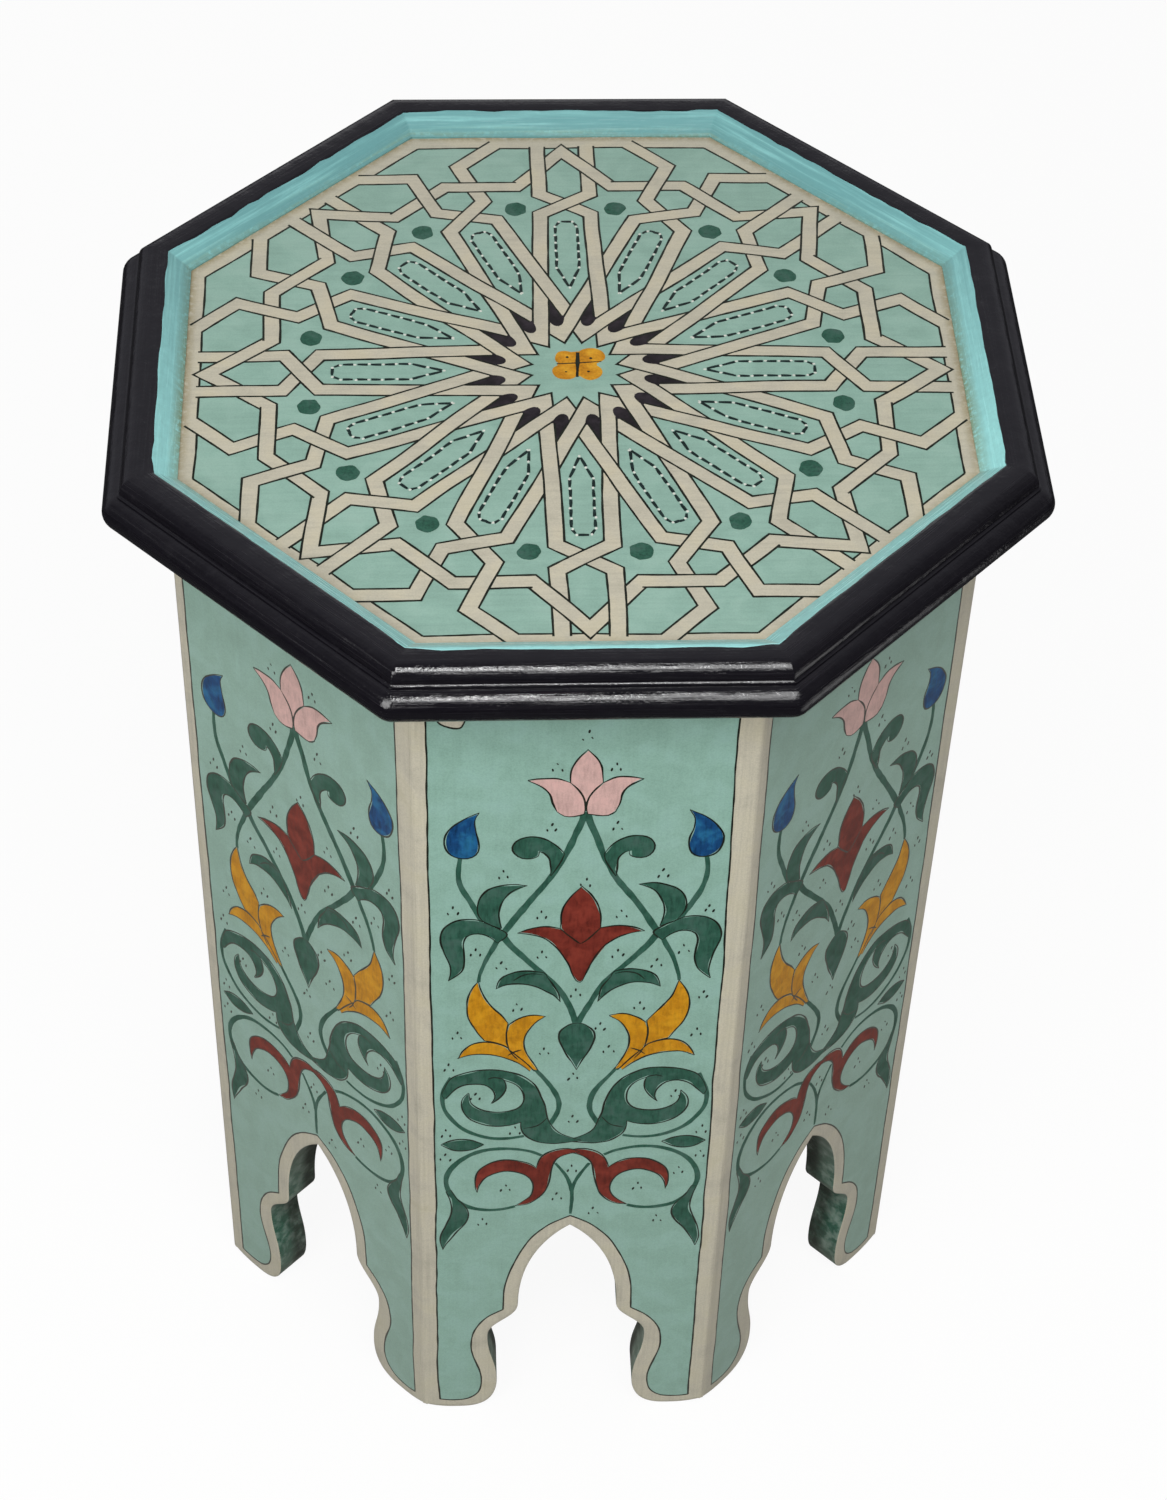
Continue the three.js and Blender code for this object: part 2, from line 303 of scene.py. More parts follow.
def soiled_and_shaded(material, between, stain_and_shade, *, share, fleck=3.0, length=None, front=0.3, depths=(-110, -30)):
    """Adds a darker colour to a finish, growing between two distances from the stool's axis, in flecks, or
    in streaks along the sides where a length is given. Only a share of it lies at the front, and all of
    it beyond the second of two depths. On the cream border it is grime, less at the front where hands
    keep the stool clean, and on the cut edges bare wood. On the bevel's enamel the olive at its foot is
    grime, while the enamel kept lighter at the front and darkened towards the back is painted light and
    shade. Lengths are in millimetres."""
    tree = material.node_tree
    shader = tree.nodes["Principled BSDF"]
    clean = shader.inputs["Base Color"].links[0].from_socket
    place = add(tree, "ShaderNodeTexCoord").outputs["Object"]
    if length:
        flecks = brush_marks(tree, place, fleck, length)
    else:
        flecks = add(tree, NOISE, inputs={
            "Vector": place, "Scale": per(fleck), "Detail": 5, "Roughness": 0.7,
        })
    # Less at the front, growing towards the back: on the bevel's enamel this change is painted light and
    # shade
    depth = add(tree, "ShaderNodeSeparateXYZ", inputs=(place,)).outputs["Y"]
    near, patch, further = (
        add(tree, RANGE, inputs={
            "Value": value, "From Min": low, "From Max": high, "To Min": least, "To Max": most,
        }) for value, low, high, least, most in (
            (apothem(tree, place), between[0] * MM, between[1] * MM, 0, share),
            (flecks, 0.12 if length else 0.3, 0.52, 0, 1),
            (depth, depths[0] * MM, depths[1] * MM, front, 1),
        )
    )
    amount = add(tree, MATH, {"operation": "MULTIPLY"}, (near, patch))
    amount = add(tree, MATH, {"operation": "MULTIPLY"}, (amount, further))
    feed(shader, {"Base Color": add(tree, MIX, COLOUR_MIX, {"Factor": amount, "A": clean, "B": stain_and_shade})})


def sawn_softwood(name, colour):
    """Bare pine, sawn and never sanded: upright grain with darker late wood, dull and a little furry."""
    brushed_paint(
        name, colour, along=UPRIGHT, streak=2.4, streak_length=160, contrast=0.22, blotch=60,
        blotch_contrast=0.16, roughness=(0.72, 0.9), relief=0.12, tint=linear("#6E4E30"), tint_share=0.3,
    )


def drawn_steel(name):
    """Bright steel wire of the headless pins: fine lines along the wire from the drawing die."""
    material = brushed_paint(
        name, linear("#9A9A98"), along=UPRIGHT, streak=0.3, streak_length=8, contrast=0.12, blotch=6,
        roughness=(0.28, 0.42), relief=0.004,
    )
    feed(material.node_tree.nodes["Principled BSDF"], {"Metallic": 1})


def finishes():
    """Every finish of the stool, by the name that the pieces use. Made once."""
    made = bpy.data.materials
    if "mint_side_paint" in made:
        return made
    colours = bpy.context.scene.stool_colours
    shade = {key: tuple(getattr(colours, key)) for key in StoolColours.__annotations__}
    # Satin emulsion in upright strokes: fine pale and dark streaks, a greyer veil where it is handled
    brushed_paint(
        "mint_side_paint", shade["mint"], along=UPRIGHT, contrast=0.035, blotch=12, blotch_contrast=0.07,
        grain=0.07, tint=linear("#93B5B0"), tint_share=0.35,
    )
    # The same paint on the level top, brushed from side to side and polished by use
    brushed_paint(
        "mint_top_paint", shade["mint_top"], along=LEVEL, streak=1.8, streak_length=26, contrast=0.05,
        blotch=14, blotch_contrast=0.07, roughness=POLISHED, tint=linear("#9DB8AC"), tint_share=0.35,
    )
    # Cream oil paint, thin enough that the strokes show and dirt gathers between them
    brushed_paint(
        "cream_side_paint", shade["cream"], along=UPRIGHT, streak=1.3, contrast=0.08, blotch=16,
        blotch_contrast=0.13, grain=0.07, tint=linear("#A9A386"), tint_share=0.5,
    )
    # The top's copy of the cream, a little darker: painted shade that offsets the light the level top takes
    cream = brushed_paint(
        "cream_top_paint", scaled(shade["cream"], 0.95), along=LEVEL, streak=1.1, streak_length=14,
        contrast=0.06, blotch=18, blotch_contrast=0.10, roughness=POLISHED, tint=linear("#BBAE8A"),
        tint_share=0.35,
    )
    soiled_and_shaded(cream, BORDER_DIRT, linear("#84744A"), share=0.75)
    # Drawing ink from a fine brush: nearly black, thinner and browner where the brush ran dry
    for name, key, contrast, blotch in (("brush_ink", "ink", 0.3, 9), ("dash_ink", "dash", 0.4, 5)):
        brushed_paint(
            name, shade[key], along=UPRIGHT, streak=1.2, streak_length=4, contrast=contrast, blotch=blotch,
            blotch_contrast=0.3, roughness=THIN, relief=0.01,
        )
    # Chinese white dotted on with the tip of the brush
    brushed_paint(
        "dot_white_paint", linear("#D9DBD2"), along=UPRIGHT, streak=0.6, streak_length=2, contrast=0.08,
        blotch=3, roughness=THIN, relief=0.02,
    )
    # Poster colours glazed in one coat: darker pools and paler drags inside each leaf and petal
    for name, key, contrast, paler in (
        ("leaf_green_paint", "green", 0.28, "#4A605A"), ("tulip_pink_paint", "pink", 0.12, "#D6ACA6"),
        ("tulip_red_paint", "red", 0.26, "#8C3A2C"), ("bud_blue_paint", "blue", 0.36, "#2A7C9C"),
        ("lily_ochre_paint", "ochre", 0.18, "#D6A01C"), ("flower_orange_paint", "orange", 0.18, "#E2B034"),
        ("kite_black_paint", "kite", 0.3, "#3C343C"),
    ):
        brushed_paint(
            name, shade[key], along=UPRIGHT, streak=1.3, streak_length=7, contrast=contrast, blotch=7,
            blotch_contrast=contrast * 0.7, roughness=(0.34, 0.5), relief=0.02, tint=linear(paler),
            tint_share=0.6, dust_and_sheen=0.14,
        )
    # Dark green paint dragged over the saw marks of the cut edges, with pale patches where it is worn,
    # and bare, smoked wood on their inner half, where no brush reached
    cut = brushed_paint(
        "cut_edge_paint", shade["edge_green"], along=(0, 1, 0), streak=1.2, streak_length=7, contrast=0.24,
        blotch=6, blotch_contrast=0.2, grain=0.1, roughness=(0.5, 0.8), relief=0.12,
        tint=linear("#A3B0A6"), tint_share=0.6,
    )
    soiled_and_shaded(cut, BARE_EDGE, linear("#352C2A"), share=0.65, fleck=7, front=0.9)
    # Gloss enamel, with olive grime in the corner at its foot, and painted shade that darkens and greys it
    # towards the back, while its front is kept lighter
    enamel = gloss_coat(
        "bevel_teal_enamel", shade["teal"], mark=1.0, mark_length=30, mark_height=0.03, mark_contrast=0.06,
        grit=0.9, grit_height=0.01, wave=7, wave_height=0.12, roughness=0.18, dull=0.16, dust_and_sheen=0.12, speck=4,
        mirror=0.5,
    )
    soiled_and_shaded(enamel, BEVEL_DIRT, linear("#7A8A66"), share=0.95, fleck=2.2, front=0.06)
    # Painted shade: the whole bevel darker and greyer in streaks from the front towards the back
    soiled_and_shaded(
        enamel, BEVEL_PAINTED_SHADE, linear("#669A9C"), share=0.9, fleck=2.0, length=50, front=0.0,
        depths=(-45, 100),
    )
    # Thick black lacquer: its brush marks and grit break the light of the lamps into dashes
    gloss_coat(
        "rim_black_lacquer", shade["black"], mark=0.8, mark_length=45, mark_height=0.12, mark_contrast=0.12,
        grit=1.1, grit_height=0.13, wave=14, wave_height=0.8, roughness=0.09, dull=0.26, dust_and_sheen=0.07, speck=5,
        mirror=0.75,
    )
    sawn_softwood("sawn_softwood", shade["wood"])
    drawn_steel("drawn_steel")
    return made


# ---------------------------------------------------------------- drawing on a flat sheet

STEP = 1.7  # spacing of the points along curved lines
STRAIGHT_STEP = 4.0  # spacing of the points along ruled lines, which only sway
SEAM = 0.01  # points nearer than this are one point
SHARPEST = 0.12  # keeps the parallels of a sharp corner from running far past it
PRESSURE_LENGTH = 5  # how far apart the widths of a brush line change on their own
PRESSURE_SEED = 40  # keeps the pressure of the brush apart from its straying
# How far what is drawn by hand strays, and how far apart it strays on its own
STRAY = {
    "outline": (0.5, 9), "stem": (0.4, 15), "dash": (0.35, 6), "white dot": (0.8, 5), "kite foot": (0.5, 6),
    "green dot": (0.8, 3), "lobe": (0.7, 6),
}


def smooth(points):
    """A curve through the points, with its ends, as points about STEP apart."""
    knots = [Vector(p) for p in points]
    if len(knots) == 2:
        return ruled(knots)
    knots = [2 * knots[0] - knots[1], *knots, 2 * knots[-1] - knots[-2]]
    curve = []
    for before, start, end, after in zip(knots, knots[1:], knots[2:], knots[3:]):
        count = max(2, round((end - start).length / STEP))
        out, back = start + (end - before) / 6, end - (after - start) / 6
        curve += [Vector(p[:2]) for p in interpolate_bezier(start, out, back, end, count + 1)[:-1]]
    return [*curve, knots[-2]]


def ruled(points, step=STRAIGHT_STEP):
    """Straight lines through the points, with points between them about a step apart."""
    line = []
    for start, end in zip(points, points[1:]):
        start, end = Vector(start), Vector(end)
        count = max(1, round((end - start).length / step))
        line += [start.lerp(end, i / count) for i in range(count)]
    return [*line, Vector(points[-1])]


def mirrored(line):
    return [Vector((-p[0], p[1])) for p in line]


def strayed(line, seed, reach, spacing):
    """The line as a hand draws it: each point strays up to the reach, smoothly over the spacing."""
    moved = []
    for point in line:
        place = Vector((point[0] / spacing, point[1] / spacing, seed))
        pull = noise.noise_vector(place)
        moved.append(Vector((point[0] + reach * pull.x, point[1] + reach * pull.y)))
    return moved


def offsets(line, closed=False):
    """For each point of a line, the step to its left that keeps parallels parallel round corners."""
    steps = []
    for i, point in enumerate(line):
        ways = []
        if i or closed:
            ways.append((point - line[i - 1]).normalized())
        if i + 1 < len(line) or closed:
            ways.append((line[(i + 1) % len(line)] - point).normalized())
        across = [Vector((-way.y, way.x)) for way in ways]
        if len(across) == 1:
            steps.append(across[0])
        else:
            steps.append((across[0] + across[1]) / max(SHARPEST, 1 + across[0].dot(across[1])))
    return steps


def drawn_in(loop, distance):
    """The loop drawn in on all sides, whichever way round it runs."""
    turning = sum(a.x * b.y - b.x * a.y for a, b in zip(loop, [*loop[1:], loop[0]]))
    inwards = math.copysign(distance, turning)
    return [p + s * inwards for p, s in zip(loop, offsets(loop, closed=True))]


def shifted(line, distance):
    return [p + s * distance for p, s in zip(line, offsets(line))]


def stroke(line, widths, seed=0.0, pressure=0.0):
    """The loop round a brush line. Widths are shared out evenly from its start to its end."""
    count = len(line)
    left, right = [], []
    for i, (point, step) in enumerate(zip(line, offsets(line))):
        place = i / max(1, count - 1) * (len(widths) - 1)
        low = min(int(place), len(widths) - 2)
        width = widths[low] + (widths[low + 1] - widths[low]) * (place - low)
        if pressure:
            around = Vector((*(point / PRESSURE_LENGTH), seed + PRESSURE_SEED))
            width *= 1 + pressure * noise.noise(around)
        left.append(point + step * width / 2)
        right.append(point - step * width / 2)
    return left + right[::-1]


def disc(centre, half_width, half_height, count=10, turn=0.0):
    loop = []
    for i in range(count):
        angle = 2 * math.pi * i / count
        x, y = half_width * math.cos(angle), half_height * math.sin(angle)
        loop.append(Vector((
            centre[0] + x * math.cos(turn) - y * math.sin(turn),
            centre[1] + x * math.sin(turn) + y * math.cos(turn),
        )))
    return loop


def surrounds(loop, points):
    """For each point, whether the loop goes round it."""
    corners = np.array([tuple(p) for p in loop])
    low, high = corners.min(0), corners.max(0)
    near = np.where(((points > low) & (points < high)).all(1))[0]
    start, end = corners[None], np.roll(corners, -1, 0)[None]
    x, y = points[near, 0][:, None], points[near, 1][:, None]
    run, rise = end[..., 0] - start[..., 0], end[..., 1] - start[..., 1]
    side = run * (y - start[..., 1]) - (x - start[..., 0]) * rise
    up = (start[..., 1] <= y) & (end[..., 1] > y) & (side > 0)
    down = (start[..., 1] > y) & (end[..., 1] <= y) & (side < 0)
    found = np.zeros(len(points), bool)
    found[near] = (up.sum(1) - down.sum(1)) != 0
    return found


def painted_areas(layers, window=None):
    """What still shows of each paint when the loops are painted in order, as triangles.

    layers holds (paint, loop) pairs; a paint of None leaves the ground bare. Only what lies in the
    window is kept. Returns the points and, for each paint, its triangles.
    """
    points, edges = [], []
    for loop in [loop for _, loop in layers] + ([window] if window else []):
        first, count = len(points), len(loop)
        points += [Vector(p[:2]) for p in loop]
        edges += [(first + i, first + (i + 1) % count) for i in range(count)]
    corners, _, triangles, *_ = delaunay_2d_cdt(points, edges, [], 0, SEAM)
    corners = np.array([tuple(c) for c in corners])
    triangles = np.array(triangles)
    a, b, c = (corners[triangles[:, i]] for i in range(3))
    area = ((b - a)[:, 0] * (c - a)[:, 1] - (b - a)[:, 1] * (c - a)[:, 0]) / 2
    triangles[area < 0] = triangles[area < 0][:, ::-1]
    middles = (a + b + c) / 3
    top = np.full(len(triangles), -1)
    for number, (_, loop) in enumerate(layers):
        top[surrounds(loop, middles)] = number
    if window:
        top[~surrounds(window, middles)] = -1
    areas = {}
    for number in np.unique(top[top >= 0]):
        paint = layers[number][0]
        if paint:
            areas.setdefault(paint, []).append(triangles[top == number])
    return corners, {paint: np.concatenate(parts) for paint, parts in areas.items()}


def paint_body(name, corners, triangles, place, faces_down=False, seam=None):
    """A thin closed coat of paint over the triangles. place(x, y, height) puts a sheet's point on the
    stool; a wall along the seam is left out, where the next copy of the coat joins on."""
    thickness = bpy.context.scene.stool_sizes.paint / MM
    used = sorted(set(triangles.ravel().tolist()))
    number = {corner: i for i, corner in enumerate(used)}
    count = len(used)
    points = [place(*corners[corner], thickness) for corner in used]
    points += [place(*corners[corner], -thickness / 2) for corner in used]
    faces, walls = [], {}
    for triangle in triangles.tolist():
        a, b, c = (number[corner] for corner in triangle)
        if faces_down:
            a, b, c = c, b, a
        faces += [(a, b, c), (c + count, b + count, a + count)]
        for edge in ((a, b), (b, c), (c, a)):
            if edge[::-1] in walls:
                del walls[edge[::-1]]
            else:
                walls[edge] = True
    for start, end in walls:
        if not (seam and seam(corners[used[start]]) and seam(corners[used[end]])):
            faces.append((start, start + count, end + count, end))
    mesh = bpy.data.meshes.new(name)
    mesh.from_pydata([p * MM for p in points], [], faces)
    return mesh


# ---------------------------------------------------------------- repeating a coat round the stool


def repeating_tree():
    """Geometry nodes: copies of a coat of paint turned round the table's axis, each swayed in its own
    surface by noise, so that every side is drawn by hand. On a level coat the sway is along X and Y,
    and on an upright one along the board and up. The whole drifts by a vector, more so further out."""
    name = "Painted round the stool"
    if name in bpy.data.node_groups:
        return bpy.data.node_groups[name]
    tree = bpy.data.node_groups.new(name, "GeometryNodeTree")
    tree.interface.new_socket("Geometry", in_out="OUTPUT", socket_type="NodeSocketGeometry")
    for label, kind, default in (
        ("Geometry", "Geometry", None), ("Copies", "Int", len(SIDES)), ("Sway", "Float", MM),
        ("Sway length", "Float", 30 * MM), ("Seed", "Float", 1.0), ("Level", "Float", 0.0),
        ("Weld", "Float", 0.005 * MM), ("Drift", "Vector", (0, 0, 0)),
        ("Drift reach", "Float", BODY_FACE * MM), ("Paint", "Material", None),
    ):
        socket = tree.interface.new_socket(label, in_out="INPUT", socket_type=f"NodeSocket{kind}")
        if default is not None:
            socket.default_value = default
    given = tree.nodes.new("NodeGroupInput").outputs

    # The copies, each marked with its turn, and welded where they meet
    points = add(tree, "GeometryNodeMeshLine", inputs={"Count": given["Copies"], "Offset": (0, 0, 0)})
    step = add(tree, MATH, {"operation": "DIVIDE"}, (2 * math.pi, given["Copies"]))
    angle = add(tree, MATH, {"operation": "MULTIPLY"}, (add(tree, "GeometryNodeInputIndex"), step))
    turn = add(tree, "FunctionNodeAxisAngleToRotation", inputs={"Axis": UPRIGHT, "Angle": angle})
    coats = add(tree, "GeometryNodeInstanceOnPoints", inputs={
        "Points": points, "Instance": given["Geometry"], "Rotation": turn,
    })
    coats = add(tree, "GeometryNodeStoreNamedAttribute", {"domain": "INSTANCE", "data_type": "FLOAT"}, {
        "Geometry": coats, "Name": "turn", "Value": angle,
    })
    coats = add(tree, "GeometryNodeRealizeInstances", inputs={"Geometry": coats})
    coats = add(tree, "GeometryNodeMergeByDistance", inputs={"Geometry": coats, "Distance": given["Weld"]})

    # The sway: noise between -1 and 1 times its reach, laid along X and Y or along the board and up
    place = add(tree, "GeometryNodeInputPosition")
    stray = add(tree, NOISE, {"noise_dimensions": "4D"}, {
        "Vector": place, "W": given["Seed"], "Detail": 1.0,
        "Scale": add(tree, MATH, {"operation": "DIVIDE"}, (1.0, given["Sway length"])),
    })
    centred = add(tree, VECTOR_MATH, {"operation": "SUBTRACT"}, (stray.outputs["Color"], (0.5, 0.5, 0.5)))
    reach = add(tree, MATH, {"operation": "MULTIPLY"}, (given["Sway"], 2.0))
    pull = add(tree, VECTOR_MATH, {"operation": "SCALE"}, {"Vector": centred, "Scale": reach})
    pull = add(tree, "ShaderNodeSeparateXYZ", inputs=(pull,)).outputs
    turned = add(tree, "GeometryNodeInputNamedAttribute", {"data_type": "FLOAT"}, {"Name": "turn"})
    along = add(tree, "ShaderNodeCombineXYZ", inputs=[
        add(tree, MATH, {"operation": operation}, (turned,)) for operation in ("COSINE", "SINE")
    ])
    sideways = add(tree, VECTOR_MATH, {"operation": "SCALE"}, {"Vector": along, "Scale": pull["X"]})
    upwards = add(tree, "ShaderNodeCombineXYZ", inputs={"Z": pull["Z"]})
    sway = add(tree, MIX, {"data_type": "VECTOR"}, {
        "Factor": given["Level"], "A": add(tree, VECTOR_MATH, {"operation": "ADD"}, (sideways, upwards)),
        "B": add(tree, "ShaderNodeCombineXYZ", inputs=(pull["X"], pull["Y"])),
    })

    # The drift, which grows with the square of the distance from the axis
    outwards = add(tree, VECTOR_MATH, {"operation": "MULTIPLY"}, (place, (1, 1, 0)))
    away = add(tree, VECTOR_MATH, {"operation": "LENGTH"}, (outwards,))
    share = add(tree, MATH, {"operation": "DIVIDE"}, (away, given["Drift reach"]))
    squared = add(tree, MATH, {"operation": "POWER"}, (share, 2.0))
    drift = add(tree, VECTOR_MATH, {"operation": "SCALE"}, {"Vector": given["Drift"], "Scale": squared})

    moved = add(tree, VECTOR_MATH, {"operation": "ADD"}, (sway, drift))
    coats = add(tree, "GeometryNodeSetPosition", inputs={"Geometry": coats, "Offset": moved})
    coats = add(tree, "GeometryNodeRemoveAttribute", inputs={"Geometry": coats, "Name": "turn"})
    coats = add(tree, "GeometryNodeSetMaterial", inputs={"Geometry": coats, "Material": given["Paint"]})
    add(tree, "NodeGroupOutput", inputs={"Geometry": coats})
    return tree


def placed(name, mesh, slot, *replaced):
    """Puts a finished piece of the stool in the scene, riding on its one body."""
    piece = bpy.data.objects.new(name, mesh)
    bpy.context.scene.collection.objects.link(piece)
    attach(piece, "root")
    if replaced:
        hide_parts(*replaced)


def modified(name, mesh, kind, settings, values=None):
    """The mesh after one modifier with those settings and node inputs, as a plain mesh."""
    draft = bpy.data.objects.new(name + "_draft", mesh)
    bpy.context.scene.collection.objects.link(draft)
    modifier = draft.modifiers.new(name, kind)
    for key, value in settings.items():
        setattr(modifier, key, value)
    for key, value in (values or {}).items():
        modifier[key] = value
    result = bpy.data.meshes.new_from_object(draft.evaluated_get(bpy.context.evaluated_depsgraph_get()))
    draft.modifiers.clear()
    bpy.data.objects.remove(draft)
    result.name = name
    return result


def repeated(name, mesh, finish, **values):
    """Places a piece: the mesh repeated by the node tree, as a plain mesh."""
    tree = repeating_tree()
    values["Paint"] = finishes()[finish]
    given = {s.identifier: values[s.name] for s in tree.interface.items_tree if s.name in values}
    placed(name, modified(name, mesh, "NODES", {"node_group": tree}, given), "painted_wood")


# ---------------------------------------------------------------- side boards

# Keel arch in the foot of a board: half widths at their heights above the floor, as in the CAD
ARCH_HEIGHT = 152
SHOULDER = (23.3, 88)
HIP = (37.6, 62)
WAIST = (33, 23)
FOOT_HALF_WIDTH = 50
CURVE_SHARE = 0.45
KEEL_TIP_SHARES = (0.52, 0.16)
KEEL_SIDE_SHARE = 0.52

FOOT_FLAT = 54  # from a board's middle, the foot stands flat up to here and rises beyond
FOOT_RISE = 3.2  # its rise at the corner
FOOT_STEPS = 5

ARRIS_STEPS = 6
BOARD_SHARP = math.radians(30)  # edges that turn by more than this are sharp
CREAM_BAND = 3.0  # width of the board's own cream band along its edges, under the painted margin
MITRE_GAP = 0.3
PAINTED_JOINT = 0.02  # what the paint over the mitres leaves open


def bezier(*handles):
    start, out, back, end = (Vector(h) for h in handles)
    count = max(6, round((end - start).length / STEP))
    return [Vector(p[:2]) for p in interpolate_bezier(start, out, back, end, count + 1)]


def half_arch():
    """Right half of the arch cut, from its tip down to the floor, as (x, height) points."""
    rise = ARCH_HEIGHT - SHOULDER[1]
    tip = (KEEL_TIP_SHARES[0] * SHOULDER[0], ARCH_HEIGHT - KEEL_TIP_SHARES[1] * rise)
    line = bezier((0, ARCH_HEIGHT), tip, (SHOULDER[0], SHOULDER[1] + KEEL_SIDE_SHARE * rise), SHOULDER)
    for start, end in ((SHOULDER, HIP), (HIP, WAIST)):
        handle = (start[1] - end[1]) * CURVE_SHARE
        line += bezier(start, (start[0], start[1] - handle), (end[0], end[1] + handle), end)[1:]
    two_thirds = 2 / 3
    out = (WAIST[0], WAIST[1] * (1 - two_thirds))
    back = (FOOT_HALF_WIDTH + (WAIST[0] - FOOT_HALF_WIDTH) * two_thirds, 0)
    return line + bezier(WAIST, out, back, (FOOT_HALF_WIDTH, 0))[1:]


def foot_rise(x):
    """Height of the foot's worn underside at a distance from the board's middle."""
    return FOOT_RISE * (max(0, x - FOOT_FLAT) / (BOARD_HALF_WIDTH - FOOT_FLAT)) ** 2


def sole(reach):
    """Right half of the foot's underside, from where it rises to its corner."""
    places = [FOOT_FLAT + (reach - FOOT_FLAT) * i / FOOT_STEPS for i in range(FOOT_STEPS + 1)]
    return [Vector((x, foot_rise(x))) for x in places]


def board_mesh():
    """The front board: its mitred plan, arched foot and rounded corners, closed."""
    radius = bpy.context.scene.stool_sizes.arris / MM
    flat, inner = (
        apart * math.tan(HALF_TURN) - gap / 2 / math.cos(HALF_TURN)
        for apart, gap in ((BODY_FACE - radius, PAINTED_JOINT), (BODY_INSIDE, MITRE_GAP))
    )
    turns = [HALF_TURN * i / ARRIS_STEPS for i in range(ARRIS_STEPS + 1)]
    corner = [(flat + radius * math.sin(t), BODY_FACE - radius + radius * math.cos(t)) for t in turns]
    half = half_arch()
    arch = mirrored(half[::-1]) + half[1:]
    front, back = (
        [
            *mirrored(sole(reach)[::-1]), *arch, *sole(reach), Vector((reach, BOARD_TOP)),
            Vector((-reach, BOARD_TOP)),
        ] for reach in (flat, inner)
    )
    ground = [p + s * CREAM_BAND for p, s in zip(front, offsets(front, closed=True))]
    points, faces = [], []

    def ring(outline, depth):
        first = len(points)
        points.extend(Vector((p.x, -depth, p.y)) for p in outline)
        return list(range(first, len(points)))

    count = len(front)
    foot_end, top_right, top_left = count - 3, count - 2, count - 1
    face_ring, edge_ring, back_ring = ring(ground, BODY_FACE), ring(front, BODY_FACE), ring(back, BODY_INSIDE)
    mint, cream, cut, bare = range(4)
    faces += [(face_ring, mint), (back_ring[::-1], bare)]
    for i in range(count):
        j = (i + 1) % count
        faces.append(((edge_ring[i], edge_ring[j], face_ring[j], face_ring[i]), cream))
    for i in range(foot_end):
        faces.append(((back_ring[i], back_ring[i + 1], edge_ring[i + 1], edge_ring[i]), cut))
    # Rounded corners and mitres, right then left, with the ends that close the top and the floor
    top = []
    for side, low, high in ((1, foot_end, top_right), (-1, 0, top_left)):
        feet, heads = [edge_ring[low]], [edge_ring[high]]
        for x, depth in corner[1:]:
            for chain, level in ((feet, foot_rise(x)), (heads, BOARD_TOP)):
                chain.append(len(points))
                points.append(Vector((side * x, -depth, level)))
        feet.append(back_ring[low])
        heads.append(back_ring[high])
        for i in range(len(feet) - 1):
            quad = (feet[i], feet[i + 1], heads[i + 1], heads[i])
            faces.append((quad[::side], cream if i < ARRIS_STEPS else bare))
        faces.append((feet[::-side], cut))
        top += heads[::side]
    faces.append((top, bare))
    mesh = bpy.data.meshes.new("board")
    mesh.from_pydata([p * MM for p in points], [], [corners for corners, _ in faces])
    for finish in ("mint_side_paint", "cream_side_paint", "cut_edge_paint", "sawn_softwood"):
        mesh.materials.append(finishes()[finish])
    mesh.polygons.foreach_set("material_index", [finish for _, finish in faces])
    # The cut edges are worn, from one foot over the arch to the other, but not across the board
    worn = mesh.attributes.new("bevel_weight_edge", "FLOAT", "EDGE")
    along_foot = {*edge_ring[:top_right], *back_ring[:top_right]}
    across = ({edge_ring[0], back_ring[0]}, {edge_ring[foot_end], back_ring[foot_end]})
    for edge, weight in zip(mesh.edges, worn.data):
        ends = set(edge.vertices)
        weight.value = float(ends <= along_foot and ends not in across)
    mesh.validate()
    return mesh


def softened(mesh, width):
    """The mesh with its weighted edges rounded, as a plain mesh."""
    return modified("board", mesh, "BEVEL", {"width": width, "segments": 2, "limit_method": "WEIGHT"})


class STOOL_OT_boards(bpy.types.Operator):
    """Makes the eight side boards, each in the place of its CAD board"""

    bl_idname = "stool.boards"
    bl_label = "Side boards"

    def execute(self, context):
        board = softened(board_mesh(), context.scene.stool_sizes.worn_edge)
        board.shade_smooth()
        board.set_sharp_from_angle(angle=BOARD_SHARP)
        for i, side in enumerate(SIDES):
            mesh = board.copy()
            mesh.transform(Matrix.Rotation(TURN * i, 4, "Z"))
            mesh.name = f"board_{side}"
            placed(f"board_{side}", mesh, "painted_wood", f"side_board_{side}")
        return {"FINISHED"}


# ---------------------------------------------------------------- rim

# Section of the moulding from the inside out, in millimetres outwards and below the rim's top
LIP = 4.5
LIP_EDGE = 0.6
BEVEL = 9.5
FLAT = 6.5
BEAD = 6.5
BEAD_STEM = 0.8
FILLET = 1
FILLET_DEPTH = 1.2
ROUND = 7.6
ROUND_SETBACK = 1.1
BASE_SETBACK = 4
BASE_DEPTH = 0.6
REBATE = 1.5
CORNER = 9  # radius of the moulding's corners in plan, at its widest
SOFT = 0.36  # how much paint fills the inner corners and rounds the outer ones
# How far the enamel was carried over the bevel's edge on each side, and stops short of it below zero
ENAMEL_OVER = {
    "front": 1.3, "front_right": -1.2, "right": 0.2, "back_right": -0.2, "back": -0.2, "back_left": -0.8,
    "left": 0.0, "front_left": -1.1,
}
ENAMEL_TURN = 0.15  # the share of a side's half along which its enamel goes over to the next side's
ENAMEL_WAVER = 0.7  # how far the brush wavered along its edge
ENAMEL_WAVER_LENGTH = 11
PAINT_ROOM = 0.15  # the moulding stays this far below the rim's top, under its coat of enamel
ENAMEL_COAT = PAINT_ROOM * 0.8
RIM_STATION = 6  # spacing of the sections along a side
CORNER_STEPS = 5
BEAD_STEPS = 12
ROUND_STEPS = 18
RIM_SHARP = math.radians(38)  # edges that turn by more than this are sharp


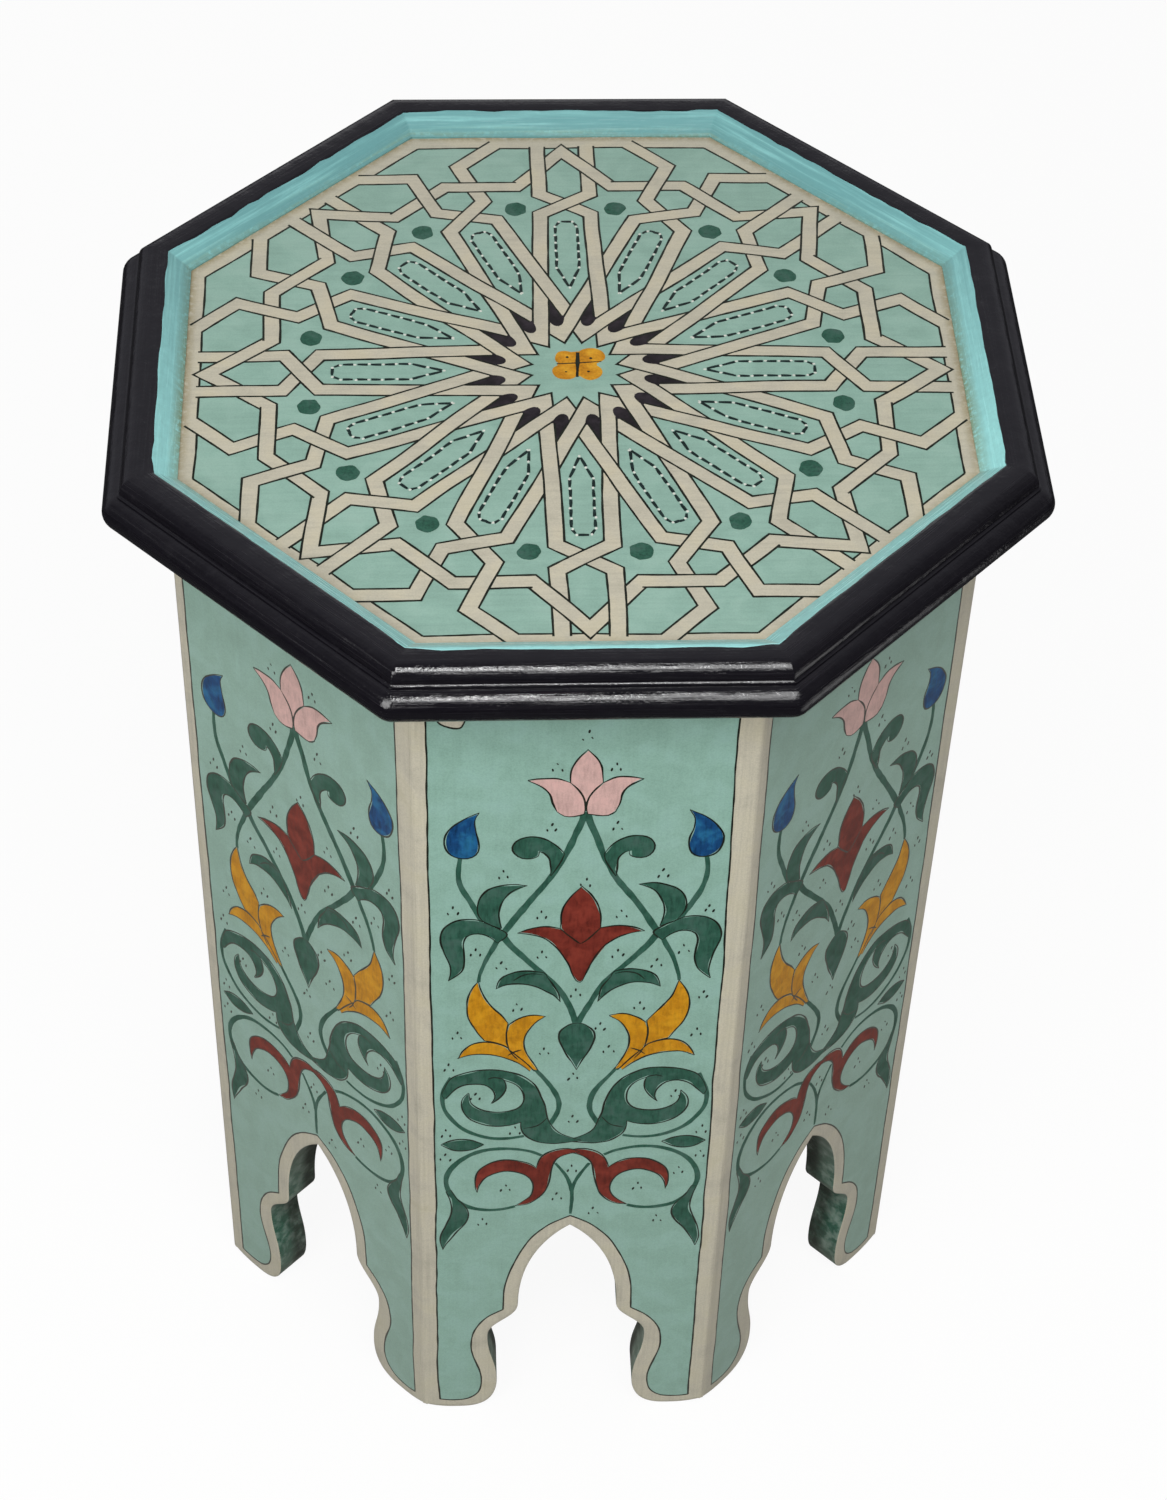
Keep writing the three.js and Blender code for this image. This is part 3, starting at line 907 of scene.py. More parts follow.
def rim_section():
    """The moulding's section as (outwards, height) points, anticlockwise from the lip's underside."""
    top = RIM_TOP - PAINT_ROOM
    lip_underside = PANEL_TOP - REBATE + MITRE_GAP
    x = BODY_FACE - LIP
    section = [(x, lip_underside), (x, PANEL_TOP + LIP_EDGE)]
    x += BEVEL
    section += [(x - SOFT, top - SOFT * LIP_EDGE), (x + SOFT, top)]
    x += FLAT
    for i in range(BEAD_STEPS + 1):
        angle = math.pi / 2 * i / BEAD_STEPS
        section.append((x + BEAD * math.sin(angle), top - BEAD * (1 - math.cos(angle))))
    x += BEAD
    level = RIM_TOP - BEAD - BEAD_STEM
    section += [(x, level + SOFT), (x + SOFT, level), (x + FILLET, level - SOFT / 2)]
    depth = math.sqrt(ROUND**2 - ROUND_SETBACK**2)
    centre = (x + FILLET - ROUND_SETBACK, level - FILLET_DEPTH - depth)
    start = math.atan2(depth, ROUND_SETBACK)
    for i in range(ROUND_STEPS + 1):
        angle = start - (start + math.pi / 2) * i / ROUND_STEPS
        section.append((centre[0] + ROUND * math.cos(angle), centre[1] + ROUND * math.sin(angle)))
    x, level = centre[0] - BASE_SETBACK, centre[1] - ROUND
    section += [(x, level), (x, level - BASE_DEPTH)]
    return section + [(BODY_FACE + MITRE_GAP, level - BASE_DEPTH), (BODY_FACE + MITRE_GAP, lip_underside)]


def round_the_rim(outwards, station):
    """A point at that distance outwards, at a station: a side's number, a share along its straight
    stretch from -1 to 1, and the turn within the corner."""
    side, share, turn = station
    centre = RIM_FACE - CORNER
    run = centre * math.tan(HALF_TURN)
    beyond = outwards - centre
    if beyond > 0:
        x = share * run + beyond * math.sin(turn)
        y = -(centre + beyond * math.cos(turn))
    else:
        cut = CORNER * math.sin(HALF_TURN) * (1 - abs(turn) / HALF_TURN)
        x = share * (outwards * math.tan(HALF_TURN) - cut)
        y = -outwards
    angle = TURN * side
    return (x * math.cos(angle) - y * math.sin(angle), x * math.sin(angle) + y * math.cos(angle))


def rim_stations():
    count = round(2 * (RIM_FACE - CORNER) * math.tan(HALF_TURN) / RIM_STATION)
    stations = []
    for side in range(len(SIDES)):
        stations += [(side, -1, -HALF_TURN * i / CORNER_STEPS) for i in range(CORNER_STEPS - 1, 0, -1)]
        stations += [(side, 2 * i / count - 1, 0.0) for i in range(count + 1)]
        stations += [(side, 1, HALF_TURN * i / CORNER_STEPS) for i in range(1, CORNER_STEPS + 1)]
    return stations


def swept(name, section_at, finish, slot, *replaced):
    """A closed ring of the section through every station, as a piece in its finish."""
    stations = rim_stations()
    rows = [[(*round_the_rim(x, station), level) for x, level in section_at(station)] for station in stations]
    count = len(rows[0])
    faces = []
    for i in range(len(rows)):
        here, there = i * count, (i + 1) % len(rows) * count
        for j in range(count):
            k = (j + 1) % count
            faces.append((here + j, here + k, there + k, there + j))
    mesh = bpy.data.meshes.new(name)
    mesh.from_pydata([Vector(p) * MM for row in rows for p in row], [], faces)
    mesh.shade_smooth()
    mesh.set_sharp_from_angle(angle=RIM_SHARP)
    mesh.materials.append(finishes()[finish])
    placed(name, mesh, slot, *replaced)


def enamel_edge(station):
    """How far out the enamel goes at a station, changing over from side to side at the corners."""
    side, share, _ = station
    neighbour = (side + (1 if share > 0 else -1)) % len(SIDES)
    here, there = ENAMEL_OVER[SIDES[side]], ENAMEL_OVER[SIDES[neighbour]]
    edge = BODY_FACE - LIP + BEVEL
    over = here + (there - here) / 2 * max(0, (abs(share) - 1 + ENAMEL_TURN) / ENAMEL_TURN)
    # The brush wavers, and by half as much over a quarter of the length
    around = Vector((*round_the_rim(edge, station), 0)) / ENAMEL_WAVER_LENGTH
    return edge + over + ENAMEL_WAVER * noise.noise(around) + ENAMEL_WAVER / 2 * noise.noise(around * 4)


def enamel_section(outer):
    """Section of the coat of enamel on the bevel, out to that distance, like rim_section."""
    lip, top = BODY_FACE - LIP, RIM_TOP - PAINT_ROOM
    edge, foot = lip + BEVEL, PANEL_TOP + LIP_EDGE
    coat = ENAMEL_COAT

    def over(x, lift):
        """A point that far above the bevel, or above the flat beyond it."""
        return (x, min(top, foot + (x - lip) / BEVEL * (top - foot)) + lift)

    inner, bend = min(edge - SOFT, outer - 0.6), min(edge + SOFT, outer - 0.3)
    return [
        # Up the lip and the bevel, where the coat is fullest, and out to where the brush stopped
        (lip - coat, PANEL_TOP - 0.2), (lip - coat, foot + 0.1), over(lip + BEVEL / 2, coat * 1.2),
        over(inner, coat * 1.1), over(bend, coat), over(outer, coat), over(outer + 0.15, -0.05),
        # Back inside the moulding
        over(min(edge, outer - 0.4), -0.3), (lip + 1, foot + 0.2), (lip + 0.2, PANEL_TOP - 0.2),
    ]


class STOOL_OT_rim(bpy.types.Operator):
    """Makes the lacquered moulding round the top, and the teal enamel on its inner bevel"""

    bl_idname = "stool.rim"
    bl_label = "Rim"

    def execute(self, context):
        section = rim_section()
        mouldings = [f"rim_moulding_{side}" for side in SIDES]
        swept("rim_moulding", lambda station: section, "rim_black_lacquer", "black_lacquer", *mouldings)
        swept(
            "rim_bevel_enamel", lambda station: enamel_section(enamel_edge(station)), "bevel_teal_enamel",
            "painted_wood",
        )
        return {"FINISHED"}


# ---------------------------------------------------------------- ornament of the sides

# Closed shapes with a dark outline: (paint, runs of points that meet at corners). Those on the
# board's middle line are given as the half from top to bottom; the others are drawn left and right.
MIDDLE_SHAPES = [
    ("tulip_pink_paint", [
        [(0, 61.8), (4, 67.1), (6.1, 72.7), (6.6, 79.5), (6.5, 81.2)],
        [(6.5, 81.2), (3.2, 85.6), (1, 90.1), (0, 94)],
    ]),
    ("tulip_red_paint", [
        [(0, 176), (3.6, 175), (8.3, 169.5)],
        [(8.3, 169.5), (13, 168.5), (17.5, 168.5), (22, 169.8), (26.5, 172.2)],
        [(26.5, 172.2), (21, 173.2), (15.5, 175.6), (11.5, 179.5), (8, 185.3), (5.2, 192), (3.1, 199),
         (1.2, 204), (0, 205)],
    ]),
    ("tulip_red_paint", [
        [(0, 143.4), (3.6, 148.5), (6.6, 154.9), (8.1, 161), (8.2, 167), (8.3, 169.5)],
        [(8.3, 169.5), (4.5, 174.5), (1, 178.4), (0, 179)],
    ]),
    ("leaf_green_paint", [
        [(0, 232.4), (2.6, 233), (4.9, 235), (7.1, 238.2), (7.7, 243), (6.2, 248.5), (4, 254.5), (1.9, 259.7),
         (0, 265)],
    ]),
]
PAIRED_FLOWERS = [
    ("tulip_pink_paint", [
        [(23, 79.2), (18, 78.2), (12, 78.4), (6.5, 81.2)],
        [(6.5, 81.2), (3.2, 85.6), (1, 90.1), (0.1, 95), (0.6, 99.3)],
        [(0.6, 99.3), (4.5, 100.4), (8.5, 100.4), (11.8, 97.8)],
        [(11.8, 97.8), (13.6, 92.8), (14.8, 87.5), (17.6, 83.2), (23, 79.2)],
    ]),
    ("bud_blue_paint", [
        [(42.2, 98.1), (44.2, 103), (43.9, 108.5), (42.6, 114.5), (42.4, 119.5), (43.8, 123.5), (47, 125.6),
         (51, 125.2), (54.6, 122.3), (56.2, 117.3), (55.7, 111.6), (53, 106.2), (48.6, 102), (44.5, 99.4),
         (42.2, 98.1)],
    ]),
    ("lily_ochre_paint", [
        [(42.3, 203.6), (45, 209), (46.8, 214.5), (47.4, 220), (47, 226.5), (45.5, 232), (43, 237.2),
         (39.8, 243.5)],
        [(39.8, 243.5), (35.4, 245), (30.8, 247.5), (29.2, 249.8)],
        [(29.2, 249.8), (30.3, 243.5), (30.3, 238), (29.6, 231.5)],
        [(29.6, 231.5), (32.8, 226.3), (36.6, 221), (39.6, 215), (41.2, 209.5), (42.3, 203.6)],
    ]),
    ("lily_ochre_paint", [
        [(13.5, 227.6), (17.5, 226.4), (21.8, 226.9), (26, 229.3), (29.4, 232.8)],
        [(29.4, 232.8), (30.3, 238), (30.3, 243.5), (29.2, 249.8)],
        [(29.2, 249.8), (27.5, 253), (24, 257.5), (20, 262.5), (18.2, 265.3)],
        [(16.6, 265), (17.8, 262), (20, 257), (21.8, 251.5), (22.6, 246.5), (22.2, 240.8), (20.4, 235.6),
         (17.4, 231), (13.5, 227.6)],
    ]),
    ("lily_ochre_paint", [
        [(51.2, 256.2), (49.4, 251.4), (45.6, 246.3), (40.5, 244.2), (35.4, 245), (30.8, 247.5),
         (29.2, 249.8)],
        [(29.2, 249.8), (25.5, 254.6), (21, 260.8), (18.4, 265.2)],
        [(20.2, 265.3), (24, 260.8), (29, 256.8), (34.3, 254), (40, 252.9), (46, 253.3), (51.2, 256.2)],
    ]),
]
PAIRED_LEAVES = {
    "curled leaf at the pink tulip's stem": [
        [(13.5, 137), (13.6, 131), (14, 126.5), (16.5, 122.8), (18.3, 122)],
        [(18.3, 122), (18.6, 124.8), (21.2, 126.3), (25, 126), (27.9, 123), (28.6, 119), (27, 115),
         (23.5, 112.9), (19, 112.9), (14.4, 115), (10.6, 118.8), (8, 123.5)],
        [(8, 123.5), (9.5, 129), (13.5, 137)],
    ],
    "horn-shaped leaf": [
        [(23, 142.6), (28.5, 141.9), (34, 142.7), (39, 145.4), (42.2, 150), (43.1, 155.5), (42.4, 161),
         (40, 165.5)],
        [(40, 165.5), (33, 169)],
        [(33, 169), (34, 164), (34.4, 159), (33.4, 153.6), (31, 148.8), (27.8, 145.2), (23, 142.6)],
    ],
    "hooked leaf": [
        [(36, 168), (42, 164), (47, 163), (52, 163.9), (56, 167.3), (58.1, 172), (58.3, 177.5), (57, 183),
         (55.4, 188.5), (54.3, 194), (54.2, 199), (55, 203)],
        [(55, 203), (51.8, 199.5), (49.3, 195.5), (48.2, 190), (48.6, 184), (49, 178.5), (47.5, 174.2),
         (44.2, 172.4), (40.8, 172.6), (37.6, 174.8), (34.4, 178.5)],
        [(34.4, 178.5), (30.5, 173), (36, 168)],
    ],
    "leaf over the middle stem": [
        [(13.5, 201.5), (15, 197.9), (21, 196.5), (27, 197.2), (31.8, 200), (34, 204.3), (34.8, 208.3)],
        [(34.8, 208.3), (30.5, 205.9), (25.5, 205.3), (20.3, 206.2), (15.5, 209), (11.3, 213), (8, 218)],
        [(8, 218), (9.6, 209.5), (13.5, 201.5)],
    ],
    "upper scroll": [
        [(-3.5, 316.2), (0.6, 314.4), (5.5, 311.2), (8.6, 307), (10.6, 302), (12, 296), (13, 289),
         (14.8, 282.4), (17.5, 276), (21.5, 270.5), (26.5, 266.6), (32, 264.6), (38, 264), (44, 264.5),
         (49.3, 266.3), (54, 269.5), (56.8, 275.5), (58.4, 281), (57, 284)],
        [(57, 284), (54.3, 280.1), (51.3, 276.3), (47.4, 274), (43.6, 273.6), (39.8, 274.7), (37.1, 277.4),
         (35.6, 280.8), (35.5, 284.7), (36.7, 288.3)],
        [(36.7, 288.3), (33.7, 284.7), (31.4, 280.8), (30.2, 277), (30.5, 273.2), (31.4, 270.9)],
        [(31.4, 270.9), (26.8, 273.6), (23.7, 277.8), (22.3, 283.1), (23, 288.5), (25.6, 292.3),
         (29.8, 294.2), (34.4, 294.5), (39, 293.5), (42.8, 291.2), (45.5, 287.7), (46.3, 283.9),
         (46.6, 280.5)],
        [(46.6, 280.5), (49, 283.9), (49.8, 288.5), (49, 293.8), (45.9, 299.2), (40.6, 303), (34.4, 304.6),
         (28.3, 303.9), (23.3, 301.9)],
        [(23.3, 301.9), (23.3, 305.3), (22.2, 309.9), (19.5, 313.7), (15.3, 316.8), (9.9, 318), (5.4, 317.8),
         (0.6, 317.2), (-3.5, 316.6)],
    ],
    "small leaf between the scrolls": [
        [(39.8, 317.6), (44.5, 314.6), (50, 313.6), (55, 314.8), (59, 317.4)],
        [(59, 317.4), (54.5, 321), (50, 322), (45, 321), (39.8, 317.6)],
    ],
    "tail leaf": [
        [(57.2, 352.5), (55.6, 359.5), (54.7, 366), (55.2, 372), (57.2, 378.8), (59, 385), (59.7, 391.5),
         (58.4, 398.5)],
        [(58.4, 398.5), (56.2, 392.5), (53, 385.5), (48.8, 379), (46.9, 373), (47.2, 368), (49.2, 363.3),
         (52.4, 358.6), (54.8, 352)],
        [(54.8, 352), (57.2, 352.5)],
    ],
}
PAIRED_SCROLLS = [
    ("tulip_red_paint", [
        [(-3, 324.6), (0.4, 322.8), (4.5, 322.4), (9.5, 324), (13.2, 327), (15.3, 331.3), (16.4, 336.1)],
        [(16.4, 336.1), (19.2, 333.2), (23.3, 330.8), (28.5, 329.6), (34, 330.4), (39, 333.4), (42.6, 338),
         (44, 344), (43.6, 350.5), (42.6, 354)],
        [(42.6, 354), (42, 348.5), (39.8, 343.6), (36, 340.2), (31, 338.2), (25.8, 338.8), (21.5, 341.4),
         (18.6, 345.7), (17.6, 351), (18.4, 356.5), (21, 360.6), (25.6, 365.3)],
        [(25.6, 365.3), (20, 364), (15.8, 360), (12.7, 354.8), (10.9, 349), (9.8, 343), (9.2, 337),
         (7.9, 331.8), (5, 327.9), (1, 326), (-3, 325)],
    ]),
]
# Green stems: (points, widths from start to end)
PAIRED_STEMS = [
    ([(0.3, 98), (1.8, 104.5), (4, 111.5), (6.3, 119.5), (9, 127.5), (12.6, 136), (17, 144.5), (22.2, 153.5),
     (27, 162), (30.5, 169), (33, 174)], (3.4, 2.6, 2.6, 3.0, 3.2)),
    ([(50, 125), (50.6, 131), (50.5, 138), (49, 145), (46.3, 152), (43, 159.5), (40.4, 165)],
     (1.8, 2.4, 2.6)),
    ([(33, 172), (29, 180), (24, 187), (19, 194), (13.5, 201.5), (8.5, 210), (4.8, 219), (1.6, 228),
     (0.3, 233)], (3.2, 2.6, 2.6, 2.9)),
    ([(33, 173), (35.8, 181), (38.6, 187.5), (40.6, 194), (41.9, 200), (42.2, 204)], (2.5, 2.1, 1.5)),
    ([(18, 264), (14, 270.5), (10.3, 276.5), (7.7, 282.5), (6.6, 288.5), (7, 294), (8.6, 299), (10.8, 303.5)],
     (1.8, 2.4, 2.4)),
    ([(54, 269), (56.5, 275), (58, 281.5), (58, 288), (56.8, 294), (53.5, 300.5), (48.8, 306.3),
     (42.5, 310.7), (35.5, 313.2), (28.5, 313.4), (22, 312)], (2.4, 2.0, 2.0, 1.6)),
    ([(14, 326.8), (19, 323.5), (26, 321.4), (33, 321), (40, 322.3), (46.7, 325.7), (52.4, 331.2),
     (56, 338.5), (57.2, 346.5), (55.8, 354), (51.8, 361), (45.5, 365.8), (38, 367.9), (31, 367.6),
     (25.5, 365.8)], (1.6, 2.1, 2.7, 2.4, 1.8)),
    ([(7.6, 333), (5, 338), (2.6, 343.2), (0.9, 348.5), (0, 354)], (1.3, 1.7, 1.7)),
]
MIDDLE_STEM = ([(0, 350), (0.2, 360), (0, 372)], (1.7, 1.7, 1.2))
# Fine inked lines inside the shapes
PAIRED_CREASES = [
    [(29.7, 254), (27, 251.6), (23.5, 250)], [(29.2, 249.8), (27.6, 253.6), (25.4, 257)],
    [(31.4, 270.9), (35.4, 269.6), (38.4, 270.6)], [(12, 299), (16, 304.5), (22, 306.5)],
    [(15.5, 199.5), (20, 198.4), (24.4, 199.6), (27.8, 203)],
]
# Dots in threes, one above two: on the middle line, in pairs left and right, and single ones
MIDDLE_DOTS = [(0, 54), (1.5, 141), (-1.5, 212), (-1.3, 269.5), (-0.4, 300), (-0.3, 337)]
PAIRED_DOTS = [
    (12, 72), (13, 107), (33, 136), (53, 158), (16.5, 161), (43.5, 184), (16, 186), (32.5, 193), (26, 221),
    (51.5, 240), (14, 251), (44, 283), (57, 309), (57, 327), (30, 351), (40, 377),
]
SINGLE_DOTS = [(53, 214), (10, 235), (-55, 262), (-26, 308), (48, 340), (-6.5, 358), (10, 370)]
# How far a paint misses its outline, which leaves slivers of the ground beside it
FILL_STRAY = {
    "leaf_green_paint": 1.2, "tulip_red_paint": 0.9, "tulip_pink_paint": 0.5, "bud_blue_paint": 0.6,
    "lily_ochre_paint": 0.6,
}
FILL_STRAY_LENGTH = 13
FILL_SHORT = 0.3  # how far inside the middle of its outline a paint stops
# A trial stroke that only the front board has, under the rim
TRIAL_MARK = [(-59.3, 44.5), (-57.6, 46.8), (-54, 48.6), (-51, 49.1), (-49.2, 48.2), (-47.9, 44.5)]
TRIAL_WIDTHS = (0.6, 1.0, 0.8)  # of its line, from start to end
DOT_SPREAD = (1.9, 3.8)  # from the middle dot to a side one, and from the upper dot to the lower ones
DOT_SIZE = (0.45, 0.95)  # half width and height of a dot
DOT_STRAY = 0.9
DOT_GROWTH = 0.5  # the most by which a dot is larger or smaller, as a share

MARGIN = 61.4  # from the board's middle to the end of the line round its arch
MARGIN_TOP = 22.4
MARGIN_END = 66.6
# The lines beside the cream margins, right and left, as (distance from the middle, distance down)
MARGIN_LINES = {
    1: [(58.4, MARGIN_TOP), (60.0, 177), (61.0, 330), (MARGIN, 526)],
    -1: [(-63.3, MARGIN_TOP), (-62.7, 177), (-61.9, 330), (-MARGIN, 526)],
}
# The line round the arch, with a cusp above the hip
ARCH_LINE = [
    [(0, 373.5), (4.4, 376.4), (10, 381), (17.2, 390), (22.2, 400), (25.8, 410), (28.3, 420), (29.8, 430),
     (30.2, 440), (30.4, 448.8)],
    [(30.4, 448.8), (34.3, 452), (37.5, 455), (41, 460), (43.8, 466), (45.2, 472), (45.7, 480),
     (44.7, 488), (43.1, 495), (41.6, 501), (40.6, 508), (41, 515), (42.9, 521), (46.8, 525.3), (51, 526.8),
     (56.5, 527), (MARGIN, 526)],
]


FOOT_LINE = 1.6  # the painted margin stays this far from the cut edge and the floor
OUTLINE_TIP = 0.45  # width of an outline at its ends, as a share of its full width
# Where in the noise the wavering of the lines and the shapes starts, right (1) and left (-1)
LINE_SEEDS = {1: 1.3, -1: 5.1}
SHAPE_SEEDS = {1: 2.2, -1: 8.4}
# How much further on in the noise each kind of shape starts, and where those in the middle do
FILL_SEED = 11
FLOWER_SEED = 20
CREASE_SEED = 40
MIDDLE_SEED = 60.0
MIDDLE_DOT_SEED = 70.0


def handed(line, side):
    """The line as it is on the right, where the side is 1, and mirrored on the left, where it is -1."""
    return line if side == 1 else mirrored(line)


def inked(layers, runs, seed):
    """Adds the dark outline of a shape: each run is a stroke of its own that thins at its ends."""
    width = bpy.context.scene.stool_sizes.outline / MM
    widths = (width * OUTLINE_TIP, width, width, width, width * OUTLINE_TIP)
    for number, run in enumerate(runs):
        line = strayed(smooth(run), seed + number * 0.37, *STRAY["outline"])
        layers.append(("brush_ink", stroke(line, widths, seed, pressure=0.5)))


def outlined(layers, paint, runs, seed):
    """Adds a shape: its paint, which misses the outline by a little, and then the outline."""
    loop = [point for run in runs for point in smooth(run)[:-1]]
    fill = strayed(drawn_in(loop, FILL_SHORT), seed + FILL_SEED, FILL_STRAY[paint], FILL_STRAY_LENGTH)
    layers.append((paint, fill))
    inked(layers, runs, seed)


def three_dots(layers, place, seed):
    """Three dots of ink, one above two, each put down by hand."""
    for number, (x, y) in enumerate(((0, -1), (-1, 1), (1, 0.85))):
        pull = noise.noise_vector(Vector((*place, seed + number)))
        centre = (
            place[0] + x * DOT_SPREAD[0] + pull.x * DOT_STRAY,
            place[1] + y * DOT_SPREAD[1] / 2 + pull.y * DOT_STRAY,
        )
        grow = 1 + DOT_GROWTH * pull.z
        dot = disc(centre, DOT_SIZE[0] * grow, DOT_SIZE[1] * grow, 8, pull.z)
        layers.append(("brush_ink", dot))


def side_layers():
    """The ornament of one board in the order it is painted."""
    layers = []
    width = bpy.context.scene.stool_sizes.outline / MM
    bottom = RIM_TOP - FOOT_LINE
    for side, line in MARGIN_LINES.items():
        feet = [(side * x, bottom - foot_rise(x)) for x in (MARGIN, (MARGIN + MARGIN_END) / 2, MARGIN_END)]
        strip = ruled([*smooth(line), *feet, (side * MARGIN_END, MARGIN_TOP), line[0]])[:-1]
        layers.append(("cream_side_paint", strip))
    half = smooth(ARCH_LINE[0])[:-1] + smooth(ARCH_LINE[1])
    cut = shifted([Vector((p.x, RIM_TOP - p.y)) for p in half_arch()], -FOOT_LINE)
    cut = [p for p in cut if p.y < bottom - 0.1] + [Vector((MARGIN, bottom - foot_rise(MARGIN)))]
    cut[0] = Vector((0, cut[0].y))
    margin = half + cut[::-1]
    layers += [("cream_side_paint", margin), ("cream_side_paint", mirrored(margin))]
    for side, seed in LINE_SEEDS.items():
        for line in (smooth(MARGIN_LINES[side]), *(handed(smooth(run), side) for run in ARCH_LINE)):
            layers.append(("brush_ink", stroke(line, (width, width), seed, pressure=0.4)))
        for number, (points, widths) in enumerate(PAIRED_STEMS):
            line = strayed(smooth(handed(points, side)), seed + number, *STRAY["stem"])
            layers.append(("leaf_green_paint", stroke(line, widths, seed + number, pressure=0.25)))
    stem, widths = MIDDLE_STEM
    layers.append(("leaf_green_paint", stroke(smooth(stem), widths, 3.0, pressure=0.3)))
    leaves = [("leaf_green_paint", runs) for runs in PAIRED_LEAVES.values()]
    for side, seed in SHAPE_SEEDS.items():
        for first, shapes in ((0, leaves), (FLOWER_SEED, [*PAIRED_SCROLLS, *PAIRED_FLOWERS])):
            for number, (paint, runs) in enumerate(shapes):
                outlined(layers, paint, [handed(run, side) for run in runs], seed + first + number)
        for number, run in enumerate(PAIRED_CREASES):
            inked(layers, [handed(run, side)], seed + CREASE_SEED + number)
        for number, (x, y) in enumerate(PAIRED_DOTS):
            three_dots(layers, (side * x, y), seed + number)
    for number, (paint, runs) in enumerate(MIDDLE_SHAPES):
        both_halves = [*runs, *[mirrored(run)[::-1] for run in runs[::-1]]]
        outlined(layers, paint, both_halves, MIDDLE_SEED + number)
    for number, place in enumerate([*MIDDLE_DOTS, *SINGLE_DOTS]):
        three_dots(layers, place, MIDDLE_DOT_SEED + number)
    return layers


def on_board(x, y, height):
    return Vector((x, -(BODY_FACE + height), RIM_TOP - y))


SIDE_PIECES = {
    "cream_side_paint": "side_margins", "brush_ink": "side_outlines", "leaf_green_paint": "side_leaves",
    "tulip_pink_paint": "side_pink_tulips", "tulip_red_paint": "side_red_tulips_and_scrolls",
    "bud_blue_paint": "side_blue_buds", "lily_ochre_paint": "side_ochre_lilies",
}
FRONT_PIECES = {"cream_side_paint": "front_trial_mark", "brush_ink": "front_trial_mark_line"}


class STOOL_OT_side_ornament(bpy.types.Operator):
    """Paints the flowers, leaves, scrolls and margins on the eight side boards, one piece for each paint"""

    bl_idname = "stool.side_ornament"
    bl_label = "Ornament of the sides"

    def execute(self, context):
        mark = smooth(TRIAL_MARK)
        line = stroke(mark, TRIAL_WIDTHS, 2.0, pressure=0.4)
        mark_layers = [("cream_side_paint", mark), ("brush_ink", line)]
        sway = {"Sway": context.scene.stool_sizes.side_sway, "Seed": 3.7}
        for layers, pieces, values in (
            (side_layers(), SIDE_PIECES, sway), (mark_layers, FRONT_PIECES, {"Copies": 1}),
        ):
            corners, areas = painted_areas(layers)
            for paint, triangles in areas.items():
                mesh = paint_body(pieces[paint], corners, triangles, on_board, faces_down=True)
                repeated(pieces[paint], mesh, paint, **values)
        return {"FINISHED"}


# ---------------------------------------------------------------- star on the top

AXES = 16
AXIS_TURN = 2 * math.pi / AXES
JOINT = (23.8, 33.75)  # where a band meets the one three axes on: its distance out and angle, in degrees
INNER_BEND = (10.95, 105)
OUTER_BEND = (-11, 120)
BORDER = 154.2  # apothem of the line round the star
RUN_ON = 1.3  # how far the bands run on over the line, into the cream border
CORNER_BEND = 147  # on the axes that run to a corner, the band turns off here
ZIGZAG_TIP = 151.6
ZIGZAG = 125.6  # apothem of the octagonal band, which rises to a tip in the middle of each side
ZIGZAG_FOOT = 21  # where it leaves the flat, from the middle of the side
CREAM_TO = 162
KITE = (24.1, 34, 60)  # how far out a kite's inner tip, its wings and its outer tip are
# A kite's rounded foot, from the band on its right to the band on its left
KITE_FOOT = [(2.4, 35.4), (2.9, 33.2), (2.4, 30.9), (1.4, 29.5), (0, 29.1), (-1.4, 29.5), (-2.5, 30.9),
             (-3.3, 33), (-3.8, 35.6)]
HEXAGON = [(0, 54.3), (4.8, 67.5), (4.8, 96), (2.9, 99.6)]  # its right half, from its tip outwards
DASH = 4.4
DASH_GAP = 1.5
DASH_WIDTH = 1.4
WHITE_DOT = 0.55  # radius of the dot in each gap
GREEN_DOT = (111.3, 4.8)  # how far out, and radius
LINE_STEP = 3.2
STAR_INK = 1.2  # its lines are this much wider than those on the sides


def round_star(points, axis):
    """Points of an axis's own sheet on the sheet of the first axis."""
    cos, sin = math.cos(axis * AXIS_TURN), math.sin(axis * AXIS_TURN)
    return [Vector((p[0] * cos + p[1] * sin, p[1] * cos - p[0] * sin)) for p in points]


def outward_arm(axis):
    """The half of a band right of an axis, from its joint out to the border."""
    angle = math.radians(JOINT[1])
    points = [(JOINT[0] * math.sin(angle), JOINT[0] * math.cos(angle)), INNER_BEND, OUTER_BEND]
    if axis % 2 == 0:
        return round_star([*points, (OUTER_BEND[0], BORDER + RUN_ON)], axis)
    points = round_star([*points, (OUTER_BEND[0], CORNER_BEND)], axis)
    last = round_star([points[-1]], 1 - axis)[0]
    rest = BORDER + 2 * RUN_ON - last.y
    return [*points, *round_star([(last.x - rest, BORDER + 2 * RUN_ON)], axis - 1)]


def inward_arm(axis):
    """The half of a band left of an axis, from the border in to its joint."""
    return [Vector((-p.x, p.y)) for p in outward_arm(-axis)][::-1]


def strand(axis):
    return [*inward_arm(axis + 3)[:-1], *outward_arm(axis)]


def zigzag(side):
    """The octagonal band along one side of the table: flat, up to its tip and down again."""
    corner, foot = ZIGZAG * math.tan(HALF_TURN), ZIGZAG_FOOT
    points = [(-corner, ZIGZAG), (-foot, ZIGZAG), (0, ZIGZAG_TIP), (foot, ZIGZAG), (corner, ZIGZAG)]
    before, after = round_star([(foot, ZIGZAG)], 2 * side - 2), round_star([(-foot, ZIGZAG)], 2 * side + 2)
    return [*before, *round_star(points, 2 * side), *after]


PARALLEL = 1e-6  # lines that spread less than this, in square millimetres, don't cross


